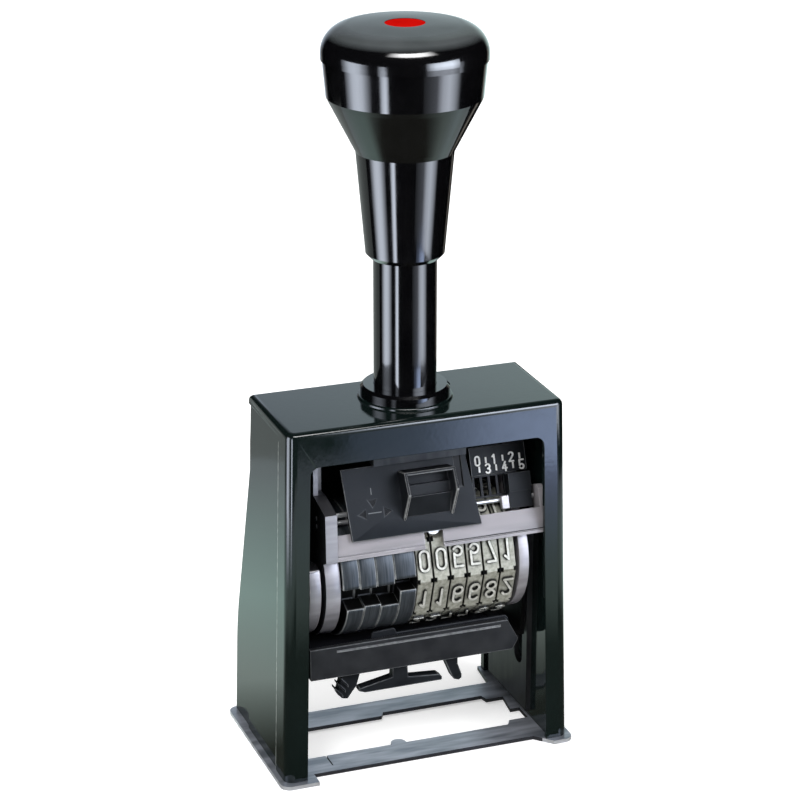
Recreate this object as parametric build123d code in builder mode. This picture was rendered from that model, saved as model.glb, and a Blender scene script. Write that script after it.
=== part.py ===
from build123d import *
import os
from math import atan2, cos, degrees, hypot, pi, radians, sin

# Hand numbering machine. Pressing the knob drives the wheel carriage down through the
# base plate, and two cam slots in the casing swing the ink pad out to the rear.
# Millimetres. X to the user's right, Y away from the user, Z up, paper at Z = 0.

os.makedirs("parts", exist_ok=True)

# ---------------------------------------------------------------- fits and clearances
press_gap = 0.01  # radial, pieces that never move apart
running_gap = 0.05  # radial, a shaft that turns or slides in its bore
slot_gap = 0.1  # each side of a pin that runs in a slot
body_gap = 0.3  # between neighbours that move past each other

# ---------------------------------------------------------------- main places
stroke = 32.0  # travel of the knob
handle_y = -4.0  # axis of the shaft
drum_y = -3.0  # axis of the figure wheels
drum_z = 49.2
drum_r = 17.0  # over the raised figures

# ---------------------------------------------------------------- casing
plate_half_w = 39.0
plate_t = 1.0
case_top_z = 92.5
case_foot_half_w = plate_half_w - 1.2
case_top_half_w = case_foot_half_w - 2.3
case_front_foot_y = -21.3
case_front_top_y = -20.6
case_rear_top_y = 10.5
case_shoulder_z = case_top_z - 13.5
case_shoulder_y = 10.8
case_waist_z = 27.0
case_waist_y = 22.6
case_rear_foot_y = 23.0
case_wall = 2.0
case_front_wall = 1.3
case_roof = 3.0
case_corner_r = 2.4
case_top_edge_r = 1.6
case_boss_t = 0.7  # raised seat of the guide bush on the roof
case_boss_edge = 0.3
case_bend_r = 60.0
cavity_half_w = case_foot_half_w - 4.9
panel_inset = 0.45  # step of the side panel behind the front frame
panel_front_y = -13.0
panel_rear_y = 11.0
panel_top_drop = 2.6
window_top_z = case_top_z - 9.0
window_top_half_w = case_top_half_w - 5.5
window_foot_half_w = case_foot_half_w - 5.8
window_corner_r = 2.4
rear_window_top_z = 38.0
rear_window_half_w = cavity_half_w - 1.2

# ---------------------------------------------------------------- base plate
plate_front_y = -23.0
plate_rear_y = 24.0
plate_corner_r = 2.5
plate_side_x = plate_half_w - 8.0  # inner edge of the side members
front_bar_y = -18.6
front_bar_w = 8.2
rear_bar_y = 5.4
rear_bar_w = 8.6
rear_bar_step = 1.8
tab_x = plate_half_w - 9.5  # inner end of the tabs under the front legs
tab_slant = 2.0
lug_w = 3.9  # rounded locating lug on the front bar
lug_h = 2.4
lug_x = -4.0
stamp_rear_y = rear_bar_y
stamp_front_y = front_bar_y + front_bar_w
stamp_nick = 0.5
stamp_step = 2.1
# Rear and right edge of the opening that the figure wheels print through, X and Y.
stamp_edge = (
    (lug_x + 1.0, stamp_rear_y),
    (lug_x + 2.0, stamp_rear_y + rear_bar_step),
    (plate_side_x - 5.5, stamp_rear_y + rear_bar_step),
    (plate_side_x - 4.9, stamp_rear_y - stamp_nick),
    (plate_side_x - 0.3, stamp_rear_y - stamp_nick),
    (plate_side_x - 1.2, (stamp_rear_y + stamp_front_y) / 2),
    (plate_side_x + 1.3, (stamp_rear_y + stamp_front_y) / 2),
    (plate_side_x + 1.3, stamp_front_y + stamp_step),
    (plate_side_x - 3.9, stamp_front_y + stamp_step),
    (plate_side_x - 5.1, stamp_front_y),
)
rear_opening_taper = (-0.8, 0.6)  # right edge of the rear opening, foot and end
scribe_x = -23.6
scribe_w = 0.35
scribe_length = 5.3

# ---------------------------------------------------------------- guide bush and shaft
shaft_r = 7.7
shaft_bore_r = 5.3
bush_flange_r = 11.0
bush_edge = 0.7
bush_flange_t = 2.7
bush_body_r = 9.5
case_boss_r = bush_flange_r + bush_edge
bush_seat_z = case_top_z + case_boss_t
bush_reach = 9.0
bush_foot_z = case_top_z - bush_reach
bush_nut_r = 12.5
bush_nut_t = 3.0
stop_pin_r = 1.3
stop_pin_z = bush_foot_z + 1.5
stop_pin_reach = 3.0  # past the shaft axis, inside the bore
seat_t = 1.5
spring_wire_r = 0.5
spring_turns = 13

# ---------------------------------------------------------------- handle
knob_top_z = 184.9
knob_crown = 0.3  # rise of the cap's top from its shoulder to the badge
knob_cap_h = 8.3
knob_shoulder_r = 6.7
knob_seam_z = knob_top_z - knob_cap_h
knob_seam_r = 19.5
knob_cap_lip = 0.4  # how far the cap stands out over the band
knob_cap_r = knob_seam_r + knob_cap_lip
knob_well_r = 16.0
knob_well_depth = 4.6
knob_well_z = knob_seam_z - knob_well_depth
knob_band_h = 8.9
knob_band_taper = 0.8
knob_band_foot_z = knob_seam_z - knob_band_h
knob_band_foot_r = knob_seam_r - knob_band_taper
knob_cone_h = 13.4
sleeve_top_z = knob_band_foot_z - knob_cone_h
sleeve_top_r = 11.8
sleeve_length = 26.2
sleeve_foot_z = sleeve_top_z - sleeve_length
sleeve_foot_r = 9.55
sleeve_foot_edge = 1.2
knob_spigot_wall = 2.6
knob_bend = 0.6  # small bends where the cone meets the neck and the band
knob_nut_r = 11.0
shaft_top_drop = 1.6  # from the knob's seam down to the end of the shaft
shaft_top_z = knob_seam_z - shaft_top_drop
shaft_foot_drop = 4.3  # from the top of the window down to the shaft's foot
shaft_foot_z = window_top_z - shaft_foot_drop
plug_drop = 25.0  # from the end of the shaft down to the spring's upper seat
plug_foot_z = shaft_top_z - plug_drop
plug_t = 6.0
badge_r = 4.8
badge_t = 1.0
badge_sunk = 0.1

# ---------------------------------------------------------------- guide plates
guide_t = 1.4
guide_x = cavity_half_w - guide_t
guide_front_y = -8.5
guide_rear_y = 17.0
guide_foot_z = 3.0
guide_bend_z = 40.0
guide_top_z = 62.0
guide_top_rear_y = 12.2

# ---------------------------------------------------------------- carriage
axle_r = 3.0
axle_end_r = 2.5
axle_shoulder_x = guide_x - slot_gap * 2
axle_end_x = cavity_half_w - slot_gap * 2
bridge_t = 3.8
bridge_rear_y = 8.0
bridge_wing_y = -10.0
bridge_boss_half_w = 12.0
bridge_boss_y = -14.5
shaft_pin_r = 1.2
cheek_r = 16.0
left_cheek_x = -25.9
left_cheek_t = 3.0
left_cheek_step = 0.4  # brow of the left cheek, back from its foot
left_cheek_brow_u = 11.6
left_cheek_brow_rise = 2.0
left_cheek_top_y = -10.0
left_cheek_rim = 0.7  # the disc is thicker than the cheek above it
left_cheek_web_t = 1.2  # the cheek is thinner in front, above its brow
left_cheek_web_y = 3.0
right_cheek_x = 24.8
right_cheek_t = 2.5
cheek_boss_r = 6.0
cheek_rear_y = 8.5
cheek_waist = 3.0  # how far the cheek's rear edge steps in towards the disc
cheek_waist_z = 57.2
spacer_r = 5.0
bridge_screw_xs = (-24.4, 26.05)
bridge_screw_ys = (-4.6, 5.0)
bridge_screw_length = 4.0

# The front panel leans back: its pieces are placed by how far they stand out (n) and
# how far up the slope they are (u) from this point.
panel_y = -16.9
panel_z = 58.2
panel_lean = 20.0
bar_left_x = left_cheek_x + left_cheek_t
bar_end_gap = 0.5  # from the bar's right end to the casing's inner wall
bar_right_x = cavity_half_w - bar_end_gap
bar_foot_u = -1.3
bar_top_u = 5.0
bar_front_n = 2.0
bar_t = 1.0
bar_gap_x = -0.2
bar_gap_w = 5.0
bar_groove = 0.35  # line above the rolled foot of the bar
bar_groove_u = -0.4
strap_w = 14.0
strap_bite = 0.25  # how far the strap runs into the bar's back
strap_foot_u = 2.7
ear_t = 1.5
ear_top_u = 10.6
ear_depth = 4.6
rod_r = 0.6
selector_rod_n = -2.2
selector_rod_u = 7.8
release_rod_n = -1.6
release_rod_u = 9.7
release_rod_right_x = 12.4
rod_lug_w = 2.0
lug_xs = (-3.4, 9.9)
bar_screw_r = 0.9
bar_screw_head_r = 1.7
bar_screw_head_t = 0.9
bar_screw_slot = 0.45
bar_screw_u = 3.8

# ---------------------------------------------------------------- release plate and grip
release_left_x = -19.0
release_right_x = 14.6
release_foot_u = 3.0
release_top_u = 20.8
release_left_slant = 1.0
release_right_slant = 2.3
release_recess_x = 9.2  # dark recess beside the grip
release_recess_w = 1.8
release_recess_u = 12.8
release_recess_depth = 0.4
release_back_n = bar_front_n + body_gap
release_t = 1.0
knuckle_r = 1.1
knuckle_w = 4.0
knuckle_xs = (-15.0, 3.0)
grip_left_x = -5.5
grip_right_x = 7.7
grip_fin_t = 0.8
grip_top_u = 18.8
grip_shelf_n = 8.0
grip_knee_n = 9.4
grip_knee_u = 12.5
grip_foot_u = 6.3
grip_shelf_drop = 0.6
grip_hollow_top_u = grip_top_u - 1.4
grip_step_n = 1.0  # each of the two steps inside the grip
grip_steps_u = (15.0, 12.2)
mark_depth = 0.3
mark_r = 1.3
release_marks = ((-12.9, 12.0, -90), (-15.5, 9.3, 180), (-9.5, 9.3, 0))

# ---------------------------------------------------------------- selector and scale
scale_left_x = 15.4
scale_right_x = 30.2
scale_back_n = -3.2
scale_t = 1.0
scale_foot_u = 14.5
scale_top_u = 21.6
comb_foot_u = 8.8
comb_slots = 4
comb_pitch = 2.1
comb_slot_w = 1.5
comb_rim = 0.5
scale_rows = ((0, 1, 2), (3, 4, 5))
scale_margin_x = 1.9
scale_margin_u = 3.5
scale_pitch = 4.5
scale_row_gap = 2.15
scale_row_shift = scale_pitch / 2 + 0.3
scale_tick_h = 1.5
scale_bowl_r = 0.55
scale_pen = 0.42
scale_relief = 0.2
selector_x = 23.8
selector_w = 5.9
selector_front_n = 0.9
selector_step = 0.7
selector_step_u = 9.6
selector_foot_u = 5.5
selector_slant = 0.7  # the foot's rear edge slants clear of the wheels
selector_hook_u = 6.6  # foot of the hook over the rod
selector_tab_w = 2.0
selector_tab_t = 1.4

# ---------------------------------------------------------------- figure wheels
wheel_count = 6
figures_per_wheel = 10
figure_step = 360 / figures_per_wheel
wheel_pitch = 4.4
wheel_w = 3.8
wheel_boss_t = 0.3
wheel_boss_r = 6.0
wheel_left_x = -2.3
wheel_flat_r = 16.0
figure_relief = 0.75
figure_pen = 0.55
figure_bowl_r = 1.12
figure_rise = 1.36  # from the middle of a figure to the centre of its upper bowl
notch_w = 1.3
notch_depth = 1.2
notch_axial = 0.6
wheel_values = (3, 3, 8, 8, 0, 4)

# ---------------------------------------------------------------- repeat cams
cam_r = 16.9
cam_core_r = 12.4
cam_edges_x = (-21.9, -17.5, -13.1, -8.4, -2.8)
cam_notch_top = (3.0, 2.0, 2.5, 6.0)
cam_notch_foot = (-17.0, -15.0, -17.5, -5.0)
cam_shift = 1.3
cam_shifted_angle = 150.0  # how far round from the front the shifted rims reach, below
cam_plain_angle = 210.0  # how far the plain rims reach, over the top
front_angle = 180.0

# ---------------------------------------------------------------- pad holder
pad_swing = 90.0
arm_t = 1.1
arm_x = guide_x - arm_t - 0.5  # inner face of both arms
arm_boss_r = 6.5
follower_arm = 15.0
follower_rest_angle = -60.0
follower_r = 1.0
follower_boss_r = 2.55
hub_r = 15.2
hub_w = 3.1
hub_top = 6.0  # flat top of the hub, above the drum axis
tray_left_x = 0.2 - arm_x
tray_front_y = -17.5
tray_rear_y = 11.5
tray_foot_z = 26.0
tray_top_z = 34.3
tray_wall = 1.6
tray_floor = 2.0
tray_nose_x = 25.4
tray_nose_wall = 4.6
tray_nose_rake = 3.0  # slant of the right end, from its top to its tip
tray_nose_rise = 2.6
tray_nose_foot = 1.5
tray_groove = 0.4
tray_groove_drop = 1.5
tray_groove_left = 7.0
tray_groove_right = 5.0
carrier_t = 1.2
carrier_front_y = -8.0
carrier_rear_y = 7.0
pad_top_z = drum_z - drum_r - body_gap
tray_end_top_z = pad_top_z - 0.5
clip_y = -14.5
clip_t = 2.6
rib_t = 0.6
rib_count = 3
rib_pitch = (-0.7, -1.3)  # from one rib to the next, X and Z
rib_run = (2.0, -2.3)  # along one rib
rib_w = 0.6
rib_start = (-21.5, 25.0)
# Outlines of the levers under the tray, X and Z, from the tray's floor downwards.
clip_outline = (
    (-7.7, tray_foot_z),
    (-3.7, tray_foot_z),
    (-3.5, 22.1),
    (4.6, 21.5),
    (5.6, 20.6),
    (5.6, 19.8),
    (-14.9, 19.7),
    (-16.6, 20.3),
    (-16.4, 21.0),
    (-7.7, 22.7),
)
thumb_outline = (
    (-20.8, tray_foot_z),
    (-16.0, tray_foot_z),
    (-17.2, 21.9),
    (-18.3, 20.5),
    (-19.5, 18.8),
    (-21.1, 19.2),
    (-22.2, 20.4),
)
latch_outline = (
    (5.8, tray_foot_z),
    (9.8, tray_foot_z),
    (9.8, 23.4),
    (10.9, 20.4),
    (10.9, 19.5),
    (10.0, 18.9),
    (8.8, 19.3),
    (8.3, 20.0),
)

# ---------------------------------------------------------------- pawls
pawl_shaft_y = 5.5
pawl_shaft_z = 70.5
pawl_shaft_r = 1.5
pawl_barrel_r = 2.6
pawl_swing = 10.0
pawl_tip_angle = 55.0
pawl_heel_angle = 51.0
pawl_tip_t = 1.2
pawl_w = 2.4

# ---------------------------------------------------------------- screws
screw_r = 1.2
base_screw_x = case_foot_half_w - 2.4
base_screw_front = 5.0
base_screw_rear = 7.0
base_screw_ys = (case_front_foot_y + base_screw_front, case_rear_foot_y - base_screw_rear)
base_screw_length = 8.0
guide_screw_inset = 3.0
guide_screw_length = 3.0
guide_screw_spots = (
    (guide_front_y + guide_screw_inset, guide_top_z - guide_screw_inset),
    (guide_rear_y - guide_screw_inset, guide_foot_z + guide_screw_inset),
)


def panel_point(n, u):
    """Y and Z of a point n out from the leaning front panel and u up its slope."""
    lean = radians(panel_lean)
    return (panel_y - n * cos(lean) + u * sin(lean), panel_z + n * sin(lean) + u * cos(lean))


def panel_plane(n):
    """Plane of the front panel, n out from it: X to the right, Y up the slope."""
    y, z = panel_point(n, 0)
    lean = radians(panel_lean)
    return Plane(origin=(0, y, z), x_dir=(1, 0, 0), z_dir=(0, -cos(lean), sin(lean)))


def drum_point(radius, angle):
    """Y and Z of a point round the drum axis; 0 degrees is the rear, 180 the front."""
    return (drum_y + radius * cos(radians(angle)), drum_z + radius * sin(radians(angle)))


def plate_x(points, x_from, x_to, mode=Mode.ADD):
    """Flat piece across X with the outline given as Y and Z points."""
    with BuildSketch(Plane.YZ.offset(x_from)) as outline:
        with BuildLine():
            Polyline(*points, close=True)
        make_face()
    extrude(outline.sketch, amount=x_to - x_from, mode=mode)


def rod_x(centre, radius, x_from, x_to, mode=Mode.ADD):
    """Round rod or bore along X."""
    with BuildSketch(Plane.YZ.offset(x_from)) as outline:
        with Locations(centre):
            Circle(radius)
    extrude(outline.sketch, amount=x_to - x_from, mode=mode)


def block(x_from, x_to, y_from, y_to, z_from, z_to, mode=Mode.ADD):
    """Block between two corners."""
    with Locations(((x_from + x_to) / 2, (y_from + y_to) / 2, (z_from + z_to) / 2)):
        Box(x_to - x_from, y_to - y_from, z_to - z_from, mode=mode)


def rod_z(spots, radius, z_from, z_to, mode=Mode.ADD):
    """Upright rods or bores at the given X and Y."""
    with BuildSketch(Plane.XY.offset(z_from)) as outline:
        with Locations(*spots):
            Circle(radius)
    extrude(outline.sketch, amount=z_to - z_from, mode=mode)


def tube_z(y, r_out, r_in, z_from, z_to):
    """Round piece upright at X = 0, hollow where r_in is not 0."""
    with BuildSketch(Plane.XY.offset(z_from)) as ring:
        with Locations((0, y)):
            Circle(r_out)
            if r_in > 0:
                Circle(r_in, mode=Mode.SUBTRACT)
    extrude(ring.sketch, amount=z_to - z_from)


def write(piece, name):
    """Label one finished piece and write its STEP file."""
    piece.part.label = name
    export_step(piece.part, f"parts/{name}.step")


drum_spot = (drum_y, drum_z)
pawl_spot = (pawl_shaft_y, pawl_shaft_z)

# ================================================================ casing
side_outline = [
    (case_front_foot_y, plate_t),
    (case_front_top_y, case_top_z),
    (case_rear_top_y, case_top_z),
    (case_shoulder_y, case_shoulder_z),
    (case_waist_y, case_waist_z),
    (case_rear_foot_y, plate_t),
]
cavity_outline = [
    (case_front_foot_y + case_front_wall, 0),
    (case_front_top_y + case_front_wall, case_top_z - case_roof),
    (case_rear_top_y - case_wall, case_top_z - case_roof),
    (case_shoulder_y - case_wall, case_shoulder_z),
    (case_waist_y - case_wall, case_waist_z),
    (case_rear_foot_y - case_wall, 0),
]
cut_margin = 5.0  # how far a cutting tool runs past the face it opens
case_depth = case_rear_foot_y - case_front_foot_y
base_screw_spots = [(side * base_screw_x, y) for side in (-1, 1) for y in base_screw_ys]

with BuildPart() as housing_shell:
    with BuildSketch(Plane.XZ.offset(-case_rear_foot_y - cut_margin)):
        with BuildLine():
            Polyline(
                (-case_foot_half_w, plate_t),
                (case_foot_half_w, plate_t),
                (case_top_half_w, case_top_z),
                (-case_top_half_w, case_top_z),
                close=True,
            )
        make_face()
    extrude(amount=case_depth + 2 * cut_margin)
    with BuildSketch(Plane.YZ.offset(-case_foot_half_w - cut_margin)) as side_view:
        with BuildLine():
            Polyline(*side_outline, close=True)
        make_face()
        rear_bends = [v for v in side_view.vertices() if plate_t < v.Y < case_top_z]
        fillet(rear_bends, radius=case_bend_r)
    extrude(amount=2 * (case_foot_half_w + cut_margin), mode=Mode.INTERSECT)
    front_corners = [
        e
        for e in housing_shell.edges().filter_by(GeomType.LINE)
        if e.length > case_top_z / 2 and e.center().Y < drum_y and abs(e.center().X) > window_foot_half_w
    ]
    fillet(front_corners, radius=case_corner_r)
    fillet(housing_shell.faces().sort_by(Axis.Z)[-1].edges(), radius=case_top_edge_r)
    for side in (-1, 1):
        for step, step_y in ((1, panel_front_y), (2, panel_rear_y)):
            inset = step * panel_inset
            panel_top_z = case_top_z - panel_top_drop
            with BuildSketch(Plane.XZ.offset(-case_rear_foot_y - cut_margin)):
                with BuildLine():
                    Polyline(
                        (side * (case_foot_half_w - inset), plate_t),
                        (side * (case_foot_half_w + cut_margin), plate_t),
                        (side * (case_foot_half_w + cut_margin), panel_top_z),
                        (side * (case_top_half_w - inset), panel_top_z),
                        close=True,
                    )
                make_face()
            extrude(amount=case_rear_foot_y + cut_margin - step_y, mode=Mode.SUBTRACT)
    rod_z([(0, handle_y)], case_boss_r, case_top_z - case_roof / 2, case_top_z + case_boss_t)
    chamfer(housing_shell.faces().sort_by(Axis.Z)[-1].edges(), length=case_boss_edge)
    plate_x(cavity_outline, -cavity_half_w, cavity_half_w, Mode.SUBTRACT)
    with BuildSketch(Plane.XZ.offset(-drum_y)) as window:
        with BuildLine():
            Polyline(
                (-window_foot_half_w, 0),
                (window_foot_half_w, 0),
                (window_top_half_w, window_top_z),
                (-window_top_half_w, window_top_z),
                close=True,
            )
        make_face()
        fillet(window.vertices().group_by(Axis.Y)[-1], radius=window_corner_r)
    extrude(amount=case_depth, mode=Mode.SUBTRACT)
    block(
        -rear_window_half_w,
        rear_window_half_w,
        drum_y,
        case_rear_foot_y + cut_margin,
        0,
        rear_window_top_z,
        Mode.SUBTRACT,
    )
    with BuildSketch(Plane.XY.offset(case_top_z - case_roof - cut_margin)):
        with Locations((0, handle_y)):
            Circle(bush_body_r + press_gap)
    extrude(amount=case_roof + 2 * cut_margin, mode=Mode.SUBTRACT)
    rod_z(base_screw_spots, screw_r + press_gap, plate_t, base_screw_length, Mode.SUBTRACT)
    for side in (-1, 1):
        for spot in guide_screw_spots:
            screw_end_x = side * (guide_x + guide_screw_length)
            rod_x(spot, screw_r + press_gap, side * guide_x, screw_end_x, Mode.SUBTRACT)
write(housing_shell, "housing_shell")

with BuildPart() as base_plate:
    with BuildSketch() as plate_outline:
        with Locations((0, (plate_front_y + plate_rear_y) / 2)):
            RectangleRounded(2 * plate_half_w, plate_rear_y - plate_front_y, plate_corner_r)
        with BuildLine():
            Polyline(
                (-plate_side_x, stamp_rear_y),
                *stamp_edge,
                (-plate_side_x, stamp_front_y),
                close=True,
            )
        make_face(mode=Mode.SUBTRACT)
        with Locations((lug_x, stamp_front_y + (lug_h - lug_w / 2) / 2)):
            Rectangle(lug_w, lug_h - lug_w / 2)
        with Locations((lug_x, stamp_front_y + lug_h - lug_w / 2)):
            Circle(lug_w / 2)
        rear_open_y = rear_bar_y + rear_bar_w
        with BuildLine():
            Polyline(
                (-plate_side_x, rear_open_y),
                (plate_side_x + rear_opening_taper[0], rear_open_y),
                (plate_side_x + rear_opening_taper[1], plate_rear_y + cut_margin),
                (-plate_side_x, plate_rear_y + cut_margin),
                close=True,
            )
        make_face(mode=Mode.SUBTRACT)
        with BuildLine():
            Polyline(
                (-tab_x, front_bar_y),
                (-tab_x, plate_front_y - cut_margin),
                (tab_x + 2 * tab_slant, plate_front_y - cut_margin),
                (tab_x + 2 * tab_slant, plate_front_y),
                (tab_x, front_bar_y),
                close=True,
            )
        make_face(mode=Mode.SUBTRACT)
        with Locations((scribe_x, stamp_front_y - scribe_length / 2)):
            Rectangle(scribe_w, scribe_length, mode=Mode.SUBTRACT)
    extrude(amount=plate_t)
    rod_z(base_screw_spots, screw_r + press_gap, 0, plate_t, Mode.SUBTRACT)
write(base_plate, "base_plate")

with BuildPart() as base_screws:
    rod_z(base_screw_spots, screw_r, 0, base_screw_length)
write(base_screws, "base_screws")

# ================================================================ guide plates
slot_half_w = axle_end_r + slot_gap


def follower_path(share):
    """Y and Z of the pad follower in the casing after a share of the stroke."""
    angle = follower_rest_angle + share * pad_swing
    y, z = drum_point(follower_arm, angle)
    return (y, z - share * stroke)


def make_guide(x_from):
    """One guide plate: an upright slot for the axle and a curved one for the follower."""
    with BuildPart() as guide:
        plate_x(
            [
                (guide_front_y, guide_foot_z),
                (guide_rear_y, guide_foot_z),
                (guide_rear_y, guide_bend_z),
                (guide_top_rear_y, guide_top_z),
                (guide_front_y, guide_top_z),
            ],
            x_from,
            x_from + guide_t,
        )
        with BuildSketch(Plane.YZ.offset(x_from)) as slots:
            with Locations((drum_y, drum_z - stroke / 2)):
                SlotCenterToCenter(stroke, 2 * slot_half_w, rotation=90)
            with BuildLine():
                Spline(*[follower_path(step / 8) for step in range(9)])
            trace(line_width=2 * (follower_r + slot_gap))
            with Locations(follower_path(0), follower_path(1)):
                Circle(follower_r + slot_gap)
        extrude(slots.sketch, amount=guide_t, mode=Mode.SUBTRACT)
        for spot in guide_screw_spots:
            rod_x(spot, screw_r + press_gap, x_from, x_from + guide_t, Mode.SUBTRACT)
    return guide


write(make_guide(-cavity_half_w), "left_guide_plate")
write(make_guide(guide_x), "right_guide_plate")

with BuildPart() as guide_screws:
    for side in (-1, 1):
        for spot in guide_screw_spots:
            rod_x(spot, screw_r, side * guide_x, side * (guide_x + guide_screw_length))
write(guide_screws, "guide_screws")

# ================================================================ guide bush
with BuildPart() as guide_bush:
    tube_z(handle_y, bush_body_r, shaft_r + running_gap, bush_foot_z, bush_seat_z)
    tube_z(handle_y, bush_flange_r, shaft_r + running_gap, bush_seat_z, bush_seat_z + bush_flange_t)
    chamfer(guide_bush.edges().group_by(Axis.Z)[-1].sort_by(SortBy.LENGTH)[-1], length=bush_edge)
    with BuildSketch(Plane.XZ.offset(-handle_y)):
        with Locations((0, stop_pin_z)):
            Circle(stop_pin_r + press_gap)
    extrude(amount=-bush_flange_r, mode=Mode.SUBTRACT)
write(guide_bush, "guide_bush")

with BuildPart() as bush_nut:
    with BuildSketch(Plane.XY.offset(case_top_z - case_roof - bush_nut_t)):
        with Locations((0, handle_y)):
            RegularPolygon(bush_nut_r, 6)
            Circle(bush_body_r + press_gap, mode=Mode.SUBTRACT)
    extrude(amount=bush_nut_t)
write(bush_nut, "bush_nut")

with BuildPart() as stop_pin:
    with BuildSketch(Plane.XZ.offset(-handle_y + stop_pin_reach)):
        with Locations((0, stop_pin_z)):
            Circle(stop_pin_r)
    extrude(amount=-stop_pin_reach - bush_body_r)
write(stop_pin, "stop_pin")

seat_z = stop_pin_z + stop_pin_r
with BuildPart() as spring_seat:
    tube_z(handle_y, shaft_bore_r - body_gap, 0, seat_z, seat_z + seat_t)
write(spring_seat, "spring_seat")

spring_foot_z = seat_z + seat_t + spring_wire_r
spring_length = plug_foot_z - spring_wire_r - spring_foot_z
spring_mean_r = shaft_bore_r - body_gap - spring_wire_r
with BuildPart() as return_spring:
    with BuildLine() as spring_line:
        Helix(
            spring_length / spring_turns,
            spring_length,
            spring_mean_r,
            center=(0, handle_y, spring_foot_z),
        )
    with BuildSketch(Plane(origin=spring_line.line @ 0, z_dir=spring_line.line % 0)):
        Circle(spring_wire_r)
    sweep(is_frenet=True)
write(return_spring, "return_spring")

# ================================================================ shaft and knob
with BuildPart() as shaft_tube:
    tube_z(handle_y, shaft_r, shaft_bore_r, shaft_foot_z, shaft_top_z)
    slot_w = 2 * (stop_pin_r + slot_gap)
    with BuildSketch(Plane.XZ.offset(-handle_y)) as stop_slot:
        with Locations((0, stop_pin_z + stroke / 2)):
            SlotCenterToCenter(stroke, slot_w, rotation=90)
    extrude(amount=-shaft_r - cut_margin, mode=Mode.SUBTRACT)
    with Locations((0, handle_y, shaft_foot_z + bridge_t / 2)):
        Cylinder(shaft_pin_r + press_gap, 2 * shaft_r, rotation=(0, 90, 0), mode=Mode.SUBTRACT)
write(shaft_tube, "shaft_tube")

with BuildPart() as shaft_plug:
    tube_z(handle_y, shaft_bore_r - press_gap, 0, plug_foot_z, plug_foot_z + plug_t)
write(shaft_plug, "shaft_plug")


handle_axis = Axis((0, handle_y, 0), (0, 0, 1))
handle_section = Plane.XZ.offset(-handle_y)
grip_bore_r = shaft_r + press_gap
with BuildPart() as handle_sleeve:
    with BuildSketch(handle_section):
        with BuildLine():
            Polyline(
                (grip_bore_r, sleeve_foot_z),
                (sleeve_foot_r - sleeve_foot_edge, sleeve_foot_z),
                (sleeve_foot_r, sleeve_foot_z + sleeve_foot_edge),
                (sleeve_top_r, sleeve_top_z),
                (grip_bore_r, sleeve_top_z),
                close=True,
            )
        make_face()
    revolve(axis=handle_axis)
write(handle_sleeve, "handle_sleeve")

with BuildPart() as knob_body:
    with BuildSketch(handle_section):
        with BuildLine():
            Polyline(
                (grip_bore_r, sleeve_top_z),
                (sleeve_top_r, sleeve_top_z),
                (sleeve_top_r + knob_bend, sleeve_top_z + 2 * knob_bend),
                (knob_band_foot_r - knob_bend, knob_band_foot_z - 2 * knob_bend),
                (knob_band_foot_r, knob_band_foot_z),
                (knob_seam_r, knob_seam_z),
                (knob_well_r, knob_seam_z),
                (knob_well_r, knob_well_z),
                (grip_bore_r, knob_well_z),
                close=True,
            )
        make_face()
    revolve(axis=handle_axis)
write(knob_body, "knob_body")

spigot_r = knob_well_r - press_gap
badge_z = knob_top_z - badge_t
badge_hole_r = badge_r + press_gap
shoulder_z = knob_top_z - knob_crown - knob_shoulder_r
flat_r = knob_cap_r - knob_shoulder_r
with BuildPart() as knob_cap:
    with BuildSketch(handle_section):
        with BuildLine():
            Polyline(
                (badge_hole_r, knob_top_z),
                (badge_hole_r, badge_z),
                (0, badge_z),
                (0, knob_seam_z),
                (spigot_r - knob_spigot_wall, knob_seam_z),
                (spigot_r - knob_spigot_wall, knob_seam_z - knob_spigot_wall),
                (spigot_r, knob_seam_z - knob_spigot_wall),
                (spigot_r, knob_seam_z),
                (knob_cap_r, knob_seam_z),
                (knob_cap_r, shoulder_z),
            )
            ThreePointArc(
                (knob_cap_r, shoulder_z),
                (flat_r + knob_shoulder_r * cos(pi / 4), shoulder_z + knob_shoulder_r * sin(pi / 4)),
                (flat_r, shoulder_z + knob_shoulder_r),
            )
            ThreePointArc(
                (flat_r, shoulder_z + knob_shoulder_r),
                ((flat_r + badge_hole_r) / 2, knob_top_z - knob_crown / 4),
                (badge_hole_r, knob_top_z),
            )
        make_face()
    revolve(axis=handle_axis)
write(knob_cap, "knob_cap")

with BuildPart() as knob_badge:
    tube_z(handle_y, badge_r, 0, badge_z, knob_top_z - badge_sunk)
write(knob_badge, "knob_badge")

with BuildPart() as knob_nut:
    with BuildSketch(Plane.XY.offset(knob_well_z)):
        with Locations((0, handle_y)):
            RegularPolygon(knob_nut_r, 6)
            Circle(shaft_r + press_gap, mode=Mode.SUBTRACT)
    extrude(amount=shaft_top_z - knob_well_z)
write(knob_nut, "knob_nut")

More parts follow.
